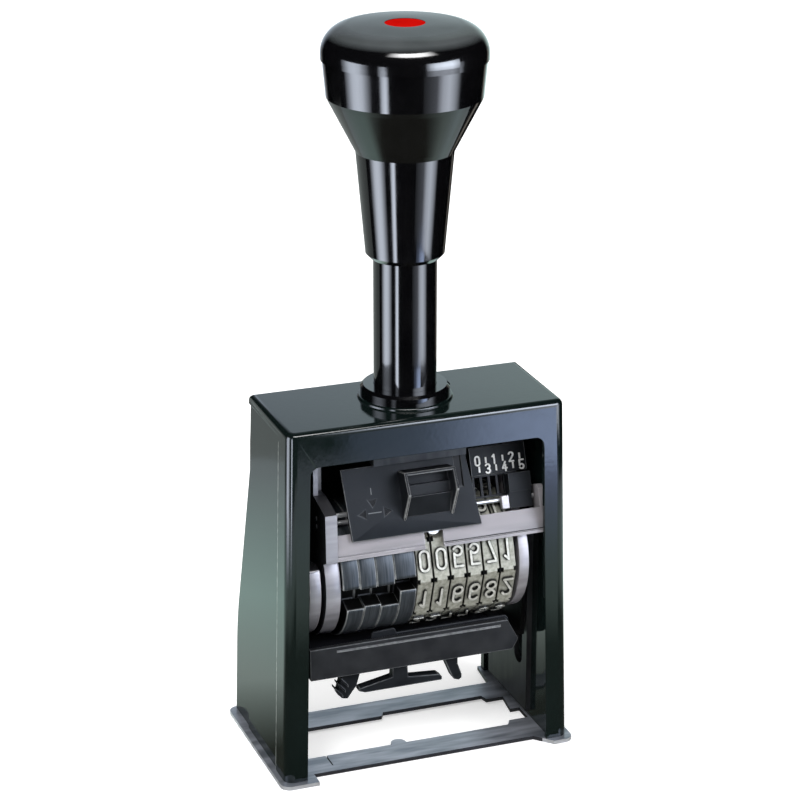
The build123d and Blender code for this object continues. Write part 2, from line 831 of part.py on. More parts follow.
# ================================================================ carriage frame
bridge_z = shaft_foot_z
bridge_screw_spots = [(x, y) for x in bridge_screw_xs for y in bridge_screw_ys]
bridge_screw_foot_z = bridge_z - bridge_screw_length
shaft_pin_spot = (handle_y, bridge_z + bridge_t / 2)
left_cheek_inner_x = left_cheek_x + left_cheek_t
right_cheek_outer_x = right_cheek_x + right_cheek_t
with BuildPart() as bridge_plate:
    block(left_cheek_x, right_cheek_outer_x, bridge_wing_y, bridge_rear_y, bridge_z, bridge_z + bridge_t)
    block(-bridge_boss_half_w, bridge_boss_half_w, bridge_boss_y, handle_y, bridge_z, bridge_z + bridge_t)
    rod_z([(0, handle_y)], shaft_r + press_gap, bridge_z, bridge_z + bridge_t, Mode.SUBTRACT)
    rod_x(shaft_pin_spot, shaft_pin_r + press_gap, -bridge_boss_half_w, bridge_boss_half_w, Mode.SUBTRACT)
    rod_z(bridge_screw_spots, screw_r + press_gap, bridge_z, bridge_z + bridge_t, Mode.SUBTRACT)
write(bridge_plate, "bridge_plate")

with BuildPart() as shaft_pin:
    rod_x(shaft_pin_spot, shaft_pin_r, -bridge_boss_half_w, bridge_boss_half_w)
write(shaft_pin, "shaft_pin")

cheek_top = [
    (cheek_rear_y, bridge_z),
    (cheek_rear_y + 1, pawl_shaft_z),
    (cheek_rear_y + 1, drum_z + cheek_r),
    (cheek_rear_y - cheek_waist, cheek_waist_z),
]
with BuildPart() as left_cheek:
    rod_x(drum_spot, cheek_r, left_cheek_x, left_cheek_inner_x + left_cheek_rim)
    front_foot = panel_point(bar_front_n, bar_foot_u)
    left_outline = [
        drum_spot,
        front_foot,
        (front_foot[0] + left_cheek_step, panel_z + left_cheek_brow_u),
        (left_cheek_top_y, panel_z + left_cheek_brow_u + left_cheek_brow_rise),
        (left_cheek_top_y, bridge_z),
    ]
    plate_x(left_outline + cheek_top, left_cheek_x, left_cheek_inner_x)
    block(
        left_cheek_x + left_cheek_web_t,
        left_cheek_inner_x,
        left_cheek_top_y,
        left_cheek_top_y + left_cheek_web_y,
        panel_z + left_cheek_brow_u + left_cheek_brow_rise,
        bridge_z,
        Mode.SUBTRACT,
    )
    rod_x(drum_spot, cheek_boss_r, left_cheek_inner_x, cam_edges_x[0] - body_gap)
    rod_x(drum_spot, axle_r + press_gap, left_cheek_x, cam_edges_x[0] - body_gap, Mode.SUBTRACT)
    for centre, radius in (
        (panel_point(selector_rod_n, selector_rod_u), rod_r),
        (panel_point(release_rod_n, release_rod_u), rod_r),
        (pawl_spot, pawl_shaft_r),
    ):
        rod_x(centre, radius + press_gap, left_cheek_x, left_cheek_inner_x, Mode.SUBTRACT)
    left_screws = bridge_screw_spots[: len(bridge_screw_ys)]
    rod_z(left_screws, screw_r + press_gap, bridge_screw_foot_z, bridge_z, Mode.SUBTRACT)
write(left_cheek, "left_cheek")

wheels_right_x = wheel_left_x + wheel_count * wheel_pitch - body_gap
with BuildPart() as right_cheek:
    rod_x(drum_spot, cheek_r, right_cheek_x, right_cheek_outer_x)
    right_outline = [
        drum_spot,
        panel_point(bar_front_n - bar_t, bar_foot_u),
        panel_point(bar_front_n - bar_t, strap_foot_u),
        panel_point(scale_back_n - scale_t, strap_foot_u),
        panel_point(scale_back_n - scale_t, comb_foot_u),
        panel_point(scale_back_n, comb_foot_u),
        panel_point(scale_back_n, scale_top_u),
        (panel_point(scale_back_n, scale_top_u)[0], bridge_z),
    ]
    plate_x(right_outline + cheek_top, right_cheek_x, right_cheek_outer_x)
    rod_x(drum_spot, cheek_boss_r, wheels_right_x + body_gap, right_cheek_x)
    rod_x(drum_spot, axle_r + press_gap, wheels_right_x, right_cheek_outer_x, Mode.SUBTRACT)
    rod_x(pawl_spot, pawl_shaft_r + press_gap, right_cheek_x, right_cheek_outer_x, Mode.SUBTRACT)
    right_screws = bridge_screw_spots[len(bridge_screw_ys) :]
    rod_z(right_screws, screw_r + press_gap, bridge_screw_foot_z, bridge_z, Mode.SUBTRACT)
write(right_cheek, "right_cheek")

with BuildPart() as bridge_screws:
    rod_z(bridge_screw_spots, screw_r, bridge_screw_foot_z, bridge_z + bridge_t)
write(bridge_screws, "bridge_screws")

with BuildPart() as wheel_axle:
    rod_x(drum_spot, axle_end_r, -axle_end_x, axle_end_x)
    rod_x(drum_spot, axle_r, -axle_shoulder_x, axle_shoulder_x)
write(wheel_axle, "wheel_axle")

with BuildPart() as axle_spacer:
    rod_x(drum_spot, spacer_r, right_cheek_outer_x, arm_x - body_gap)
    rod_x(drum_spot, axle_r + press_gap, right_cheek_outer_x, arm_x, Mode.SUBTRACT)
write(axle_spacer, "axle_spacer")

# ---------------------------------------------------------------- front bar
bar_back_n = bar_front_n - bar_t
bar_gap_right_x = bar_gap_x + bar_gap_w
with BuildPart() as front_bar:
    for x_from, x_to in ((bar_left_x, bar_gap_x), (bar_gap_right_x, bar_right_x)):
        plate_x(
            [
                panel_point(bar_back_n, bar_foot_u),
                panel_point(bar_front_n, bar_foot_u),
                panel_point(bar_front_n, bar_top_u),
                panel_point(bar_back_n, bar_top_u),
            ],
            x_from,
            x_to,
        )
        plate_x(
            [
                panel_point(bar_front_n - bar_groove, bar_groove_u),
                panel_point(bar_front_n + bar_groove, bar_groove_u),
                panel_point(bar_front_n + bar_groove, bar_groove_u + bar_groove),
                panel_point(bar_front_n - bar_groove, bar_groove_u + bar_groove),
            ],
            x_from,
            x_to,
            Mode.SUBTRACT,
        )
    plate_x(
        [
            panel_point(bar_back_n - bar_t, strap_foot_u),
            panel_point(bar_back_n + strap_bite, strap_foot_u),
            panel_point(bar_back_n + strap_bite, bar_top_u),
            panel_point(bar_back_n - bar_t, bar_top_u),
        ],
        bar_gap_x + bar_gap_w / 2 - strap_w / 2,
        bar_gap_x + bar_gap_w / 2 + strap_w / 2,
    )
    plate_x(
        [
            panel_point(bar_front_n - ear_depth, 0),
            panel_point(bar_front_n, 0),
            panel_point(bar_front_n, ear_top_u - 1),
            panel_point(bar_front_n - 1, ear_top_u),
            panel_point(bar_front_n - ear_depth, ear_top_u),
        ],
        bar_right_x - ear_t,
        bar_right_x,
    )
    for x in lug_xs:
        plate_x(
            [
                panel_point(bar_back_n - bar_t, strap_foot_u),
                panel_point(bar_back_n, strap_foot_u),
                panel_point(bar_back_n, bar_top_u),
                panel_point(release_rod_n + knuckle_r, release_rod_u + knuckle_r),
                panel_point(release_rod_n - knuckle_r, release_rod_u + knuckle_r),
                panel_point(selector_rod_n - knuckle_r, selector_rod_u),
            ],
            x,
            x + rod_lug_w,
        )
    for centre, x_from, x_to in (
        (panel_point(selector_rod_n, selector_rod_u), bar_left_x, bar_right_x),
        (panel_point(release_rod_n, release_rod_u), bar_left_x, release_rod_right_x),
    ):
        rod_x(centre, rod_r + press_gap, x_from, x_to, Mode.SUBTRACT)
    with Locations(panel_plane(bar_front_n)):
        with Locations((bar_gap_x + bar_gap_w / 2, bar_screw_u)):
            Cylinder(bar_screw_r + press_gap, 4 * bar_t, mode=Mode.SUBTRACT)
write(front_bar, "front_bar")

with BuildPart() as bar_screw:
    with BuildSketch(panel_plane(bar_back_n - bar_t)):
        with Locations((bar_gap_x + bar_gap_w / 2, bar_screw_u)):
            Circle(bar_screw_r)
    extrude(amount=bar_t + strap_bite)
    with BuildSketch(panel_plane(bar_back_n + strap_bite)):
        with Locations((bar_gap_x + bar_gap_w / 2, bar_screw_u)):
            Circle(bar_screw_head_r)
    extrude(amount=bar_screw_head_t)
    with BuildSketch(panel_plane(bar_back_n + strap_bite + bar_screw_head_t)):
        with Locations((bar_gap_x + bar_gap_w / 2, bar_screw_u)):
            Rectangle(2 * bar_screw_head_r, bar_screw_slot)
    extrude(amount=-bar_screw_slot, mode=Mode.SUBTRACT)
write(bar_screw, "bar_screw")

with BuildPart() as selector_rod:
    rod_x(panel_point(selector_rod_n, selector_rod_u), rod_r, left_cheek_x, bar_right_x)
write(selector_rod, "selector_rod")

with BuildPart() as release_rod:
    rod_x(panel_point(release_rod_n, release_rod_u), rod_r, left_cheek_x, release_rod_right_x)
write(release_rod, "release_rod")

# ---------------------------------------------------------------- scale and comb
with BuildPart() as scale_plate:
    with BuildSketch(panel_plane(scale_back_n)):
        with BuildLine():
            Polyline(
                (scale_left_x, scale_foot_u),
                (scale_right_x, scale_foot_u),
                (scale_right_x, scale_top_u),
                (scale_left_x, scale_top_u),
                close=True,
            )
        make_face()
    extrude(amount=scale_t)
write(scale_plate, "scale_plate")

with BuildPart() as detent_comb:
    with BuildSketch(panel_plane(scale_back_n)):
        with BuildLine():
            Polyline(
                (scale_left_x, comb_foot_u),
                (right_cheek_outer_x, comb_foot_u),
                (right_cheek_outer_x, scale_foot_u),
                (scale_left_x, scale_foot_u),
                close=True,
            )
        make_face()
        slot_u = (comb_foot_u + scale_foot_u) / 2
        slot_h = scale_foot_u - comb_foot_u - 2 * comb_rim
        slot_x = scale_left_x + comb_rim + comb_slot_w / 2
        with Locations(*[(slot_x + k * comb_pitch, slot_u) for k in range(comb_slots)]):
            Rectangle(comb_slot_w, slot_h, mode=Mode.SUBTRACT)
    extrude(amount=scale_t)
write(detent_comb, "detent_comb")


def pen_line(start, end, pen):
    """Straight pen stroke with round ends."""
    (x_from, y_from), (x_to, y_to) = start, end
    with Locations(((x_from + x_to) / 2, (y_from + y_to) / 2)):
        SlotCenterToCenter(
            hypot(x_to - x_from, y_to - y_from),
            pen,
            rotation=degrees(atan2(y_to - y_from, x_to - x_from)),
        )


def pen_arc(centre_y, radius, start_angle, sweep_angle, pen):
    """Bent pen stroke with round ends, centred on the figure's upright line."""
    with BuildLine() as bend:
        CenterArc((0, centre_y), radius, start_angle, sweep_angle)
    SlotArc(bend.edges()[0], pen)


def pen_ring(centre_y, radius, pen):
    """Closed round pen stroke."""
    with BuildSketch() as ring:
        with Locations((0, centre_y)):
            Circle(radius + pen / 2)
            Circle(radius - pen / 2, mode=Mode.SUBTRACT)
    add(ring.sketch)


def draw_figure(value, bowl, rise, pen):
    """One figure in the sketch in hand, centred; its bowls lie rise above and below the middle."""
    top = rise + bowl
    if value == 0:
        pen_line((-bowl, -rise), (-bowl, rise), pen)
        pen_arc(rise, bowl, 0, 180, pen)
        pen_line((bowl, rise), (bowl, -rise), pen)
        pen_arc(-rise, bowl, 180, 180, pen)
    elif value == 1:
        pen_line((-0.8 * bowl, top - 0.8 * bowl), (0, top), pen)
        pen_line((0, top), (0, -top), pen)
    elif value == 2:
        pen_arc(rise, bowl, -30, 190, pen)
        pen_line((0.87 * bowl, rise - 0.5 * bowl), (-bowl, -top), pen)
        pen_line((-bowl, -top), (bowl, -top), pen)
    elif value == 3:
        pen_arc(rise, bowl, -90, 240, pen)
        pen_arc(-rise, bowl, -150, 240, pen)
    elif value == 4:
        pen_line((0.4 * bowl, top), (-bowl, -0.8 * bowl), pen)
        pen_line((-bowl, -0.8 * bowl), (bowl, -0.8 * bowl), pen)
        pen_line((0.4 * bowl, 0.6 * bowl), (0.4 * bowl, -top), pen)
    elif value == 5:
        pen_line((bowl, top), (-0.87 * bowl, top), pen)
        pen_line((-0.87 * bowl, top), (-0.87 * bowl, 0.5 * bowl - rise), pen)
        pen_arc(-rise, bowl, -150, 300, pen)
    elif value == 6:
        pen_ring(-rise, bowl, pen)
        pen_line((-bowl, -rise), (-bowl, rise), pen)
        pen_arc(rise, bowl, 30, 150, pen)
    elif value == 7:
        pen_line((-bowl, top), (bowl, top), pen)
        pen_line((bowl, top), (-0.3 * bowl, -top), pen)
    elif value == 8:
        pen_ring(rise, bowl, pen)
        pen_ring(-rise, bowl, pen)
    else:
        pen_ring(rise, bowl, pen)
        pen_line((bowl, rise), (bowl, -rise), pen)
        pen_arc(-rise, bowl, -150, 150, pen)


with BuildPart() as scale_figures:
    for row, values in enumerate(scale_rows):
        for column, value in enumerate(values):
            figure_x = scale_left_x + scale_margin_x + column * scale_pitch + row * scale_row_shift
            figure_u = scale_top_u - scale_margin_u - row * scale_row_gap
            tick_x = figure_x + scale_pitch / 2 - row * scale_pitch
            face = panel_plane(scale_back_n + scale_t)
            with BuildSketch(face * Location((figure_x, figure_u, 0))) as mark:
                draw_figure(value, scale_bowl_r, scale_bowl_r, scale_pen)
            extrude(mark.sketch, amount=scale_relief)
            with BuildSketch(face) as tick:
                with Locations((tick_x, figure_u)):
                    Rectangle(scale_pen, scale_tick_h)
            extrude(tick.sketch, amount=scale_relief)
write(scale_figures, "scale_figures")

# ---------------------------------------------------------------- selector
selector_path_n = scale_back_n + scale_t + body_gap
with BuildPart() as selector_block:
    selector_outline = [
        panel_point(selector_path_n, selector_foot_u + selector_slant),
        panel_point(selector_rod_n, selector_hook_u),
        panel_point(selector_rod_n, comb_foot_u - body_gap),
        panel_point(selector_path_n, comb_foot_u - body_gap),
        panel_point(selector_path_n, scale_foot_u - body_gap),
        panel_point(selector_front_n, scale_foot_u - body_gap),
        panel_point(selector_front_n, selector_step_u),
        panel_point(selector_front_n - selector_step, selector_step_u),
        panel_point(selector_front_n - selector_step, selector_foot_u),
        panel_point(selector_path_n + selector_slant, selector_foot_u),
    ]
    plate_x(selector_outline, selector_x, selector_x + selector_w)
    rod_x(
        panel_point(selector_rod_n, selector_rod_u),
        rod_r + running_gap,
        selector_x,
        selector_x + selector_w,
        Mode.SUBTRACT,
    )
write(selector_block, "selector_block")

tab_back_n = selector_rod_n + rod_r + slot_gap
with BuildPart() as selector_tab:
    plate_x(
        [
            panel_point(tab_back_n, selector_foot_u),
            panel_point(tab_back_n + selector_tab_t, selector_foot_u),
            panel_point(tab_back_n + selector_tab_t, comb_foot_u),
            panel_point(tab_back_n, comb_foot_u),
        ],
        selector_x - selector_tab_w,
        selector_x,
    )
write(selector_tab, "selector_tab")

# ---------------------------------------------------------------- release plate
with BuildPart() as release_plate:
    with BuildSketch(panel_plane(release_back_n)):
        with BuildLine():
            Polyline(
                (release_left_x, release_foot_u),
                (release_right_x, release_foot_u),
                (release_right_x - release_right_slant, release_top_u),
                (release_left_x - release_left_slant, release_top_u),
                close=True,
            )
        make_face()
    extrude(amount=release_t)
    for x in knuckle_xs:
        rod_x(panel_point(release_rod_n, release_rod_u), knuckle_r, x, x + knuckle_w)
        plate_x(
            [
                panel_point(release_rod_n, release_rod_u + knuckle_r),
                panel_point(release_rod_n, release_rod_u - knuckle_r),
                panel_point(release_back_n, release_rod_u - knuckle_r),
                panel_point(release_back_n, release_rod_u + knuckle_r),
            ],
            x,
            x + knuckle_w,
        )
        rod_x(panel_point(release_rod_n, release_rod_u), rod_r + running_gap, x, x + knuckle_w, Mode.SUBTRACT)
    for mark_x, mark_u, turn in release_marks:
        with BuildSketch(panel_plane(release_back_n + release_t)):
            with Locations((mark_x, mark_u)):
                RegularPolygon(mark_r, 3, rotation=turn)
        extrude(amount=-mark_depth, mode=Mode.SUBTRACT)
    with BuildSketch(panel_plane(release_back_n + release_t)):
        with Locations((release_recess_x + release_recess_w / 2, (release_recess_u + release_top_u) / 2)):
            Rectangle(release_recess_w, release_top_u - release_recess_u)
    extrude(amount=-release_recess_depth, mode=Mode.SUBTRACT)
write(release_plate, "release_plate")

release_front_n = release_back_n + release_t
with BuildPart() as release_grip:
    plate_x(
        [
            panel_point(release_front_n, grip_top_u),
            panel_point(grip_shelf_n, grip_top_u - grip_shelf_drop),
            panel_point(grip_knee_n, grip_knee_u),
            panel_point(release_front_n, grip_foot_u),
        ],
        grip_left_x,
        grip_right_x,
    )
    plate_x(
        [
            panel_point(release_front_n + grip_step_n, grip_hollow_top_u),
            panel_point(grip_knee_n + cut_margin, grip_hollow_top_u),
            panel_point(grip_knee_n + cut_margin, grip_foot_u - grip_fin_t),
            panel_point(release_front_n, grip_foot_u - grip_fin_t),
            panel_point(release_front_n, grip_foot_u + grip_fin_t),
            panel_point(release_front_n + 3 * grip_step_n, grip_steps_u[1]),
            panel_point(release_front_n + 2 * grip_step_n, grip_steps_u[1]),
            panel_point(release_front_n + 2 * grip_step_n, grip_steps_u[0]),
            panel_point(release_front_n + grip_step_n, grip_steps_u[0]),
        ],
        grip_left_x + grip_fin_t,
        grip_right_x - grip_fin_t,
        Mode.SUBTRACT,
    )
write(release_grip, "release_grip")

# ================================================================ figure wheels


def wheel_outward(angle):
    """Direction out from a wheel's axis; 0 degrees is the rear, 90 is up."""
    return Vector(0, cos(radians(angle)), sin(radians(angle)))


with BuildPart() as wheel_blank:
    with BuildSketch(Plane.YZ) as wheel_side:
        RegularPolygon(wheel_flat_r, figures_per_wheel, major_radius=False)
    extrude(wheel_side.sketch, amount=wheel_w)
    rod_x((0, 0), wheel_boss_r, wheel_w, wheel_w + wheel_boss_t)
    wheel_corner_r = wheel_flat_r / cos(pi / figures_per_wheel)
    for side_x in (notch_axial / 2, wheel_w - notch_axial / 2):
        for corner in range(figures_per_wheel):
            outward = wheel_outward(figure_step * corner)
            corner_plane = Plane(
                origin=outward * wheel_corner_r + Vector(side_x, 0, 0),
                x_dir=(1, 0, 0),
                z_dir=outward,
            )
            with Locations(corner_plane):
                Box(notch_axial, notch_w, 2 * notch_depth, mode=Mode.SUBTRACT)
    for value in range(figures_per_wheel):
        outward = wheel_outward(figure_step * value - 90)
        type_plane = Plane(
            origin=outward * (wheel_flat_r + figure_relief) + Vector(wheel_w / 2, 0, 0),
            x_dir=(1, 0, 0),
            z_dir=outward * -1,
        )
        with BuildSketch(type_plane) as figure:
            draw_figure(value, figure_bowl_r, figure_rise, figure_pen)
        extrude(figure.sketch, amount=figure_relief + press_gap)
    rod_x((0, 0), axle_r + running_gap, 0, wheel_w + wheel_boss_t, Mode.SUBTRACT)

wheel_axis = Axis((0, 0, 0), (1, 0, 0))
for index, value in enumerate(wheel_values):
    with BuildPart() as number_wheel:
        turned_wheel = wheel_blank.part.rotate(wheel_axis, -figure_step * value)
        add(turned_wheel.moved(Location((wheel_left_x + index * wheel_pitch, drum_y, drum_z))))
    write(number_wheel, f"number_wheel_{index + 1}")

# ================================================================ repeat cams


def drum_sector(r_in, r_out, angle_from, angle_to, x_from, x_to, mode=Mode.ADD):
    """Slice of a ring about the drum axis between two angles."""
    middle = (angle_from + angle_to) / 2
    with BuildSketch(Plane.YZ.offset(x_from)) as slice_outline:
        with BuildLine():
            ThreePointArc(
                drum_point(r_out, angle_from),
                drum_point(r_out, middle),
                drum_point(r_out, angle_to),
            )
            Line(drum_point(r_out, angle_to), drum_point(r_in, angle_to))
            ThreePointArc(
                drum_point(r_in, angle_to),
                drum_point(r_in, middle),
                drum_point(r_in, angle_from),
            )
            Line(drum_point(r_in, angle_from), drum_point(r_out, angle_from))
        make_face()
    extrude(slice_outline.sketch, amount=x_to - x_from, mode=mode)


for index in range(len(cam_notch_top)):
    x_from = cam_edges_x[index]
    x_to = cam_edges_x[index + 1]
    shifted_to = x_to + cam_shift if index + 1 < len(cam_notch_top) else x_to
    with BuildPart() as repeat_cam:
        rod_x(drum_spot, cam_core_r, x_from, x_to)
        plain_end = front_angle - cam_notch_top[index]
        drum_sector(cam_core_r, cam_r, front_angle - cam_plain_angle, plain_end, x_from, x_to)
        shifted_start = front_angle - cam_notch_foot[index]
        shifted_end = front_angle + cam_shifted_angle
        drum_sector(cam_core_r, cam_r, shifted_start, shifted_end, x_from + cam_shift, shifted_to)
        rod_x(drum_spot, axle_r + running_gap, x_from, x_to, Mode.SUBTRACT)
    write(repeat_cam, f"repeat_cam_{index + 1}")

# ================================================================ pad holder
follower_centre = follower_path(0)


def make_arm(x_from):
    """One sheet arm of the pad holder, from the axle down to the carrier."""
    with BuildPart() as arm:
        rod_x(drum_spot, arm_boss_r, x_from, x_from + arm_t)
        plate_x(
            [
                (drum_y - arm_boss_r, drum_z),
                (carrier_front_y, tray_foot_z - carrier_t),
                (carrier_rear_y, tray_foot_z - carrier_t),
                (drum_y + arm_boss_r, drum_z),
            ],
            x_from,
            x_from + arm_t,
        )
        rod_x(follower_centre, follower_boss_r, x_from, x_from + arm_t)
        rod_x(drum_spot, axle_r + running_gap, x_from, x_from + arm_t, Mode.SUBTRACT)
        rod_x(follower_centre, follower_r + press_gap, x_from, x_from + arm_t, Mode.SUBTRACT)
    return arm


write(make_arm(-arm_x - arm_t), "left_pad_arm")
write(make_arm(arm_x), "right_pad_arm")

with BuildPart() as follower_pins:
    rod_x(follower_centre, follower_r, -axle_end_x, -arm_x)
    rod_x(follower_centre, follower_r, arm_x, axle_end_x)
write(follower_pins, "follower_pins")

with BuildPart() as pad_hub:
    rod_x(drum_spot, hub_r, -arm_x, -arm_x + hub_w)
    rod_x(drum_spot, axle_r + running_gap, -arm_x, -arm_x + hub_w, Mode.SUBTRACT)
    block(
        -arm_x,
        -arm_x + hub_w,
        drum_y - hub_r,
        drum_y + hub_r,
        drum_z + hub_top,
        drum_z + hub_r,
        Mode.SUBTRACT,
    )
write(pad_hub, "pad_hub")

with BuildPart() as pad_carrier:
    block(-arm_x, arm_x, carrier_front_y, carrier_rear_y, tray_foot_z - carrier_t, tray_foot_z)
write(pad_carrier, "pad_carrier")

tray_foot_r = drum_z - tray_foot_z
tray_rear_z = drum_z - (tray_foot_r**2 - (tray_rear_y - drum_y) ** 2) ** 0.5
tray_curve_angle = degrees(atan2(tray_rear_z - drum_z, tray_rear_y - drum_y))
tray_length = tray_nose_x - tray_left_x
with BuildPart() as pad_tray:
    with BuildSketch(Plane.YZ.offset(tray_left_x)):
        with BuildLine():
            Polyline(
                (drum_y, tray_foot_z),
                (tray_front_y, tray_foot_z),
                (tray_front_y, tray_top_z),
                (tray_rear_y, tray_top_z),
                (tray_rear_y, tray_rear_z),
            )
            ThreePointArc(
                (tray_rear_y, tray_rear_z),
                drum_point(tray_foot_r, (tray_curve_angle - 90) / 2),
                (drum_y, tray_foot_z),
            )
        make_face()
    extrude(amount=tray_length)
    block(
        tray_left_x + tray_wall,
        tray_nose_x - tray_nose_wall,
        tray_front_y + tray_wall,
        tray_rear_y - tray_wall,
        tray_foot_z + tray_floor,
        tray_top_z,
        Mode.SUBTRACT,
    )
    block(
        tray_left_x,
        tray_nose_x,
        tray_front_y + tray_wall,
        tray_rear_y - tray_wall,
        tray_end_top_z,
        tray_top_z,
        Mode.SUBTRACT,
    )
    with BuildSketch(Plane.XZ.offset(-tray_front_y + cut_margin)):
        with BuildLine():
            Polyline(
                (tray_nose_x - tray_nose_rake, tray_top_z),
                (tray_nose_x, tray_foot_z + tray_nose_rise),
                (tray_nose_x - tray_nose_foot, tray_foot_z),
                (tray_nose_x + cut_margin, tray_foot_z),
                (tray_nose_x + cut_margin, tray_top_z),
                close=True,
            )
        make_face()
    extrude(amount=-2 * cut_margin - tray_rear_y + tray_front_y, mode=Mode.SUBTRACT)
    block(
        tray_left_x + tray_groove_left,
        tray_nose_x - tray_groove_right,
        tray_front_y,
        tray_front_y + tray_groove,
        tray_top_z - tray_groove_drop,
        tray_top_z - tray_groove_drop + tray_groove,
        Mode.SUBTRACT,
    )
write(pad_tray, "pad_tray")

with BuildPart() as ink_pad:
    block(
        tray_left_x + tray_wall,
        tray_nose_x - tray_nose_wall,
        tray_front_y + tray_wall,
        tray_rear_y - tray_wall,
        tray_foot_z + tray_floor,
        pad_top_z,
    )
write(ink_pad, "ink_pad")

lever_plane = Plane.XZ.offset(-clip_y - clip_t / 2)
with BuildPart() as pad_clip:
    with BuildSketch(lever_plane):
        with BuildLine():
            Polyline(*clip_outline, close=True)
        make_face()
    extrude(amount=clip_t)
write(pad_clip, "pad_clip")

with BuildPart() as thumb_tab:
    with BuildSketch(lever_plane):
        with BuildLine():
            Polyline(*thumb_outline, close=True)
        make_face()
    extrude(amount=clip_t)
    with BuildSketch(lever_plane):
        for rib in range(rib_count):
            rib_x = rib_start[0] + rib * rib_pitch[0]
            rib_z = rib_start[1] + rib * rib_pitch[1]
            with BuildLine():
                Polyline(
                    (rib_x, rib_z),
                    (rib_x + rib_run[0], rib_z + rib_run[1]),
                    (rib_x + rib_run[0], rib_z + rib_run[1] - rib_w),
                    (rib_x, rib_z - rib_w),
                    close=True,
                )
            make_face()
    extrude(amount=clip_t + rib_t)
write(thumb_tab, "thumb_tab")

with BuildPart() as latch_lever:
    with BuildSketch(lever_plane):
        with BuildLine():
            Polyline(*latch_outline, close=True)
        make_face()
    extrude(amount=clip_t)
write(latch_lever, "latch_lever")

# ================================================================ pawls
with BuildPart() as pawl_shaft:
    rod_x(pawl_spot, pawl_shaft_r, left_cheek_x, right_cheek_outer_x)
write(pawl_shaft, "pawl_shaft")

with BuildPart() as pawl_carrier:
    carrier_left_x = cam_edges_x[0]
    rod_x(pawl_spot, pawl_barrel_r, carrier_left_x, wheels_right_x)
    tip = drum_point(drum_r + body_gap, pawl_tip_angle)
    heel = drum_point(drum_r + body_gap + pawl_tip_t, pawl_heel_angle)
    cam_centres = [(a + b) / 2 for a, b in zip(cam_edges_x, cam_edges_x[1:])]
    wheel_centres = [wheel_left_x + wheel_w / 2 + k * wheel_pitch for k in range(wheel_count)]
    for centre_x in cam_centres + wheel_centres:
        plate_x(
            [
                (pawl_shaft_y - pawl_barrel_r / 2, pawl_shaft_z - pawl_barrel_r / 2),
                tip,
                heel,
                (pawl_shaft_y + pawl_barrel_r, pawl_shaft_z),
            ],
            centre_x - pawl_w / 2,
            centre_x + pawl_w / 2,
        )
    rod_x(
        (pawl_shaft_y, pawl_shaft_z),
        pawl_shaft_r + running_gap,
        carrier_left_x,
        wheels_right_x,
        Mode.SUBTRACT,
    )
write(pawl_carrier, "pawl_carrier")
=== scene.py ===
"""Looks of the hand numbering machine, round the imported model. Metres; mm is one millimetre."""

from math import cos, pi, radians, sin

import bpy
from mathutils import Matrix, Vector, noise


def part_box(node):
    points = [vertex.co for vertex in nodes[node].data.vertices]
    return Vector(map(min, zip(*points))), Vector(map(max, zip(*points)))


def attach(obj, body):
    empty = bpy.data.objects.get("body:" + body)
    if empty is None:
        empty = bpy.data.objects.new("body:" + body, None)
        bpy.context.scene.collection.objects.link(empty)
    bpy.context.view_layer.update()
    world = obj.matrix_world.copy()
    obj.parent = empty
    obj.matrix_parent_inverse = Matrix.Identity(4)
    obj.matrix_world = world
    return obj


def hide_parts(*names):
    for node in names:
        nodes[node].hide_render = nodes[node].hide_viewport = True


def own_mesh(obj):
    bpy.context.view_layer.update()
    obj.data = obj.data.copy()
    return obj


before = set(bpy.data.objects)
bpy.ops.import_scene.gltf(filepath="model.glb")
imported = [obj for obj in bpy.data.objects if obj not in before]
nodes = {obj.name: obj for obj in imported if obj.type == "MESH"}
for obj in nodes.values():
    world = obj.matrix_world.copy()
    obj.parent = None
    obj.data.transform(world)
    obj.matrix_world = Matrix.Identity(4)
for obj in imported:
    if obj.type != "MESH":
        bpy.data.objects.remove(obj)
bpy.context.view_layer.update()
mm = 0.001

# ---------------------------------------------------------------- places taken from the frame
shaft_low, shaft_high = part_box("shaft_tube")
axle_low, axle_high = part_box("wheel_axle")
pad_low, pad_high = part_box("ink_pad")
spring_low, spring_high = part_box("return_spring")
handle_y = (shaft_low.y + shaft_high.y) / 2
drum_y = (axle_low.y + axle_high.y) / 2
drum_z = (axle_low.z + axle_high.z) / 2

# ---------------------------------------------------------------- places that finishes change at
casing_side_x = 34.2 * mm  # just inside the casing's sides
casing_side_top_z = 88.5 * mm  # where the sides round into the roof
frame_edge_y = -13.2 * mm  # edge of the front frame on the casing's sides
tab_y = -20.5 * mm  # base plate, behind the edges of its front tabs
tab_inner_x = 29 * mm
plate_left_x = -36.5 * mm
cheek_shade_z = (35 * mm, 46 * mm)  # the cheek darkens from the upper of these to the lower
wheel_face_turn = radians(36)  # ten flats on a wheel
wheel_gap_r = 15.6 * mm  # floor between the wheels' faces
wheel_flat_r = 16.04 * mm
figure_top_r = 16.6 * mm
cam_rim_r = (16.3 * mm, 16.9 * mm)  # notches below, outer faces above

# The front panel leans back: heights stand out square from it, slopes run up along it.
panel_lean = radians(20.0)
panel_y = -16.9 * mm
panel_z = 58.2 * mm
plate_face = 3.3 * mm  # height of the release plate's front
mark_depth = 0.15 * mm
recess_depth = 0.7 * mm
bar_shadow_line_x = (5 * mm, 40 * mm)
bar_shadow_line = (-0.35 * mm, 0.24 * mm)  # slope of the painted shadow line's middle, and half its width
bar_dull = (0.2 * mm, 2.2 * mm)  # slopes that the bar's upper part dulls over
guide_half = 0.11 * mm  # half the width of the release plate's guide lines
upright_guide = (-12.9 * mm, 13.9 * mm, 15.5 * mm)  # its X, and the slopes of its ends
level_guide = (9.4 * mm, -14.2 * mm, -10.8 * mm)  # its slope, and the X of its ends

even = (1, 1, 1)
along_x = (7, 1, 1)
upright = (1, 1, 4)


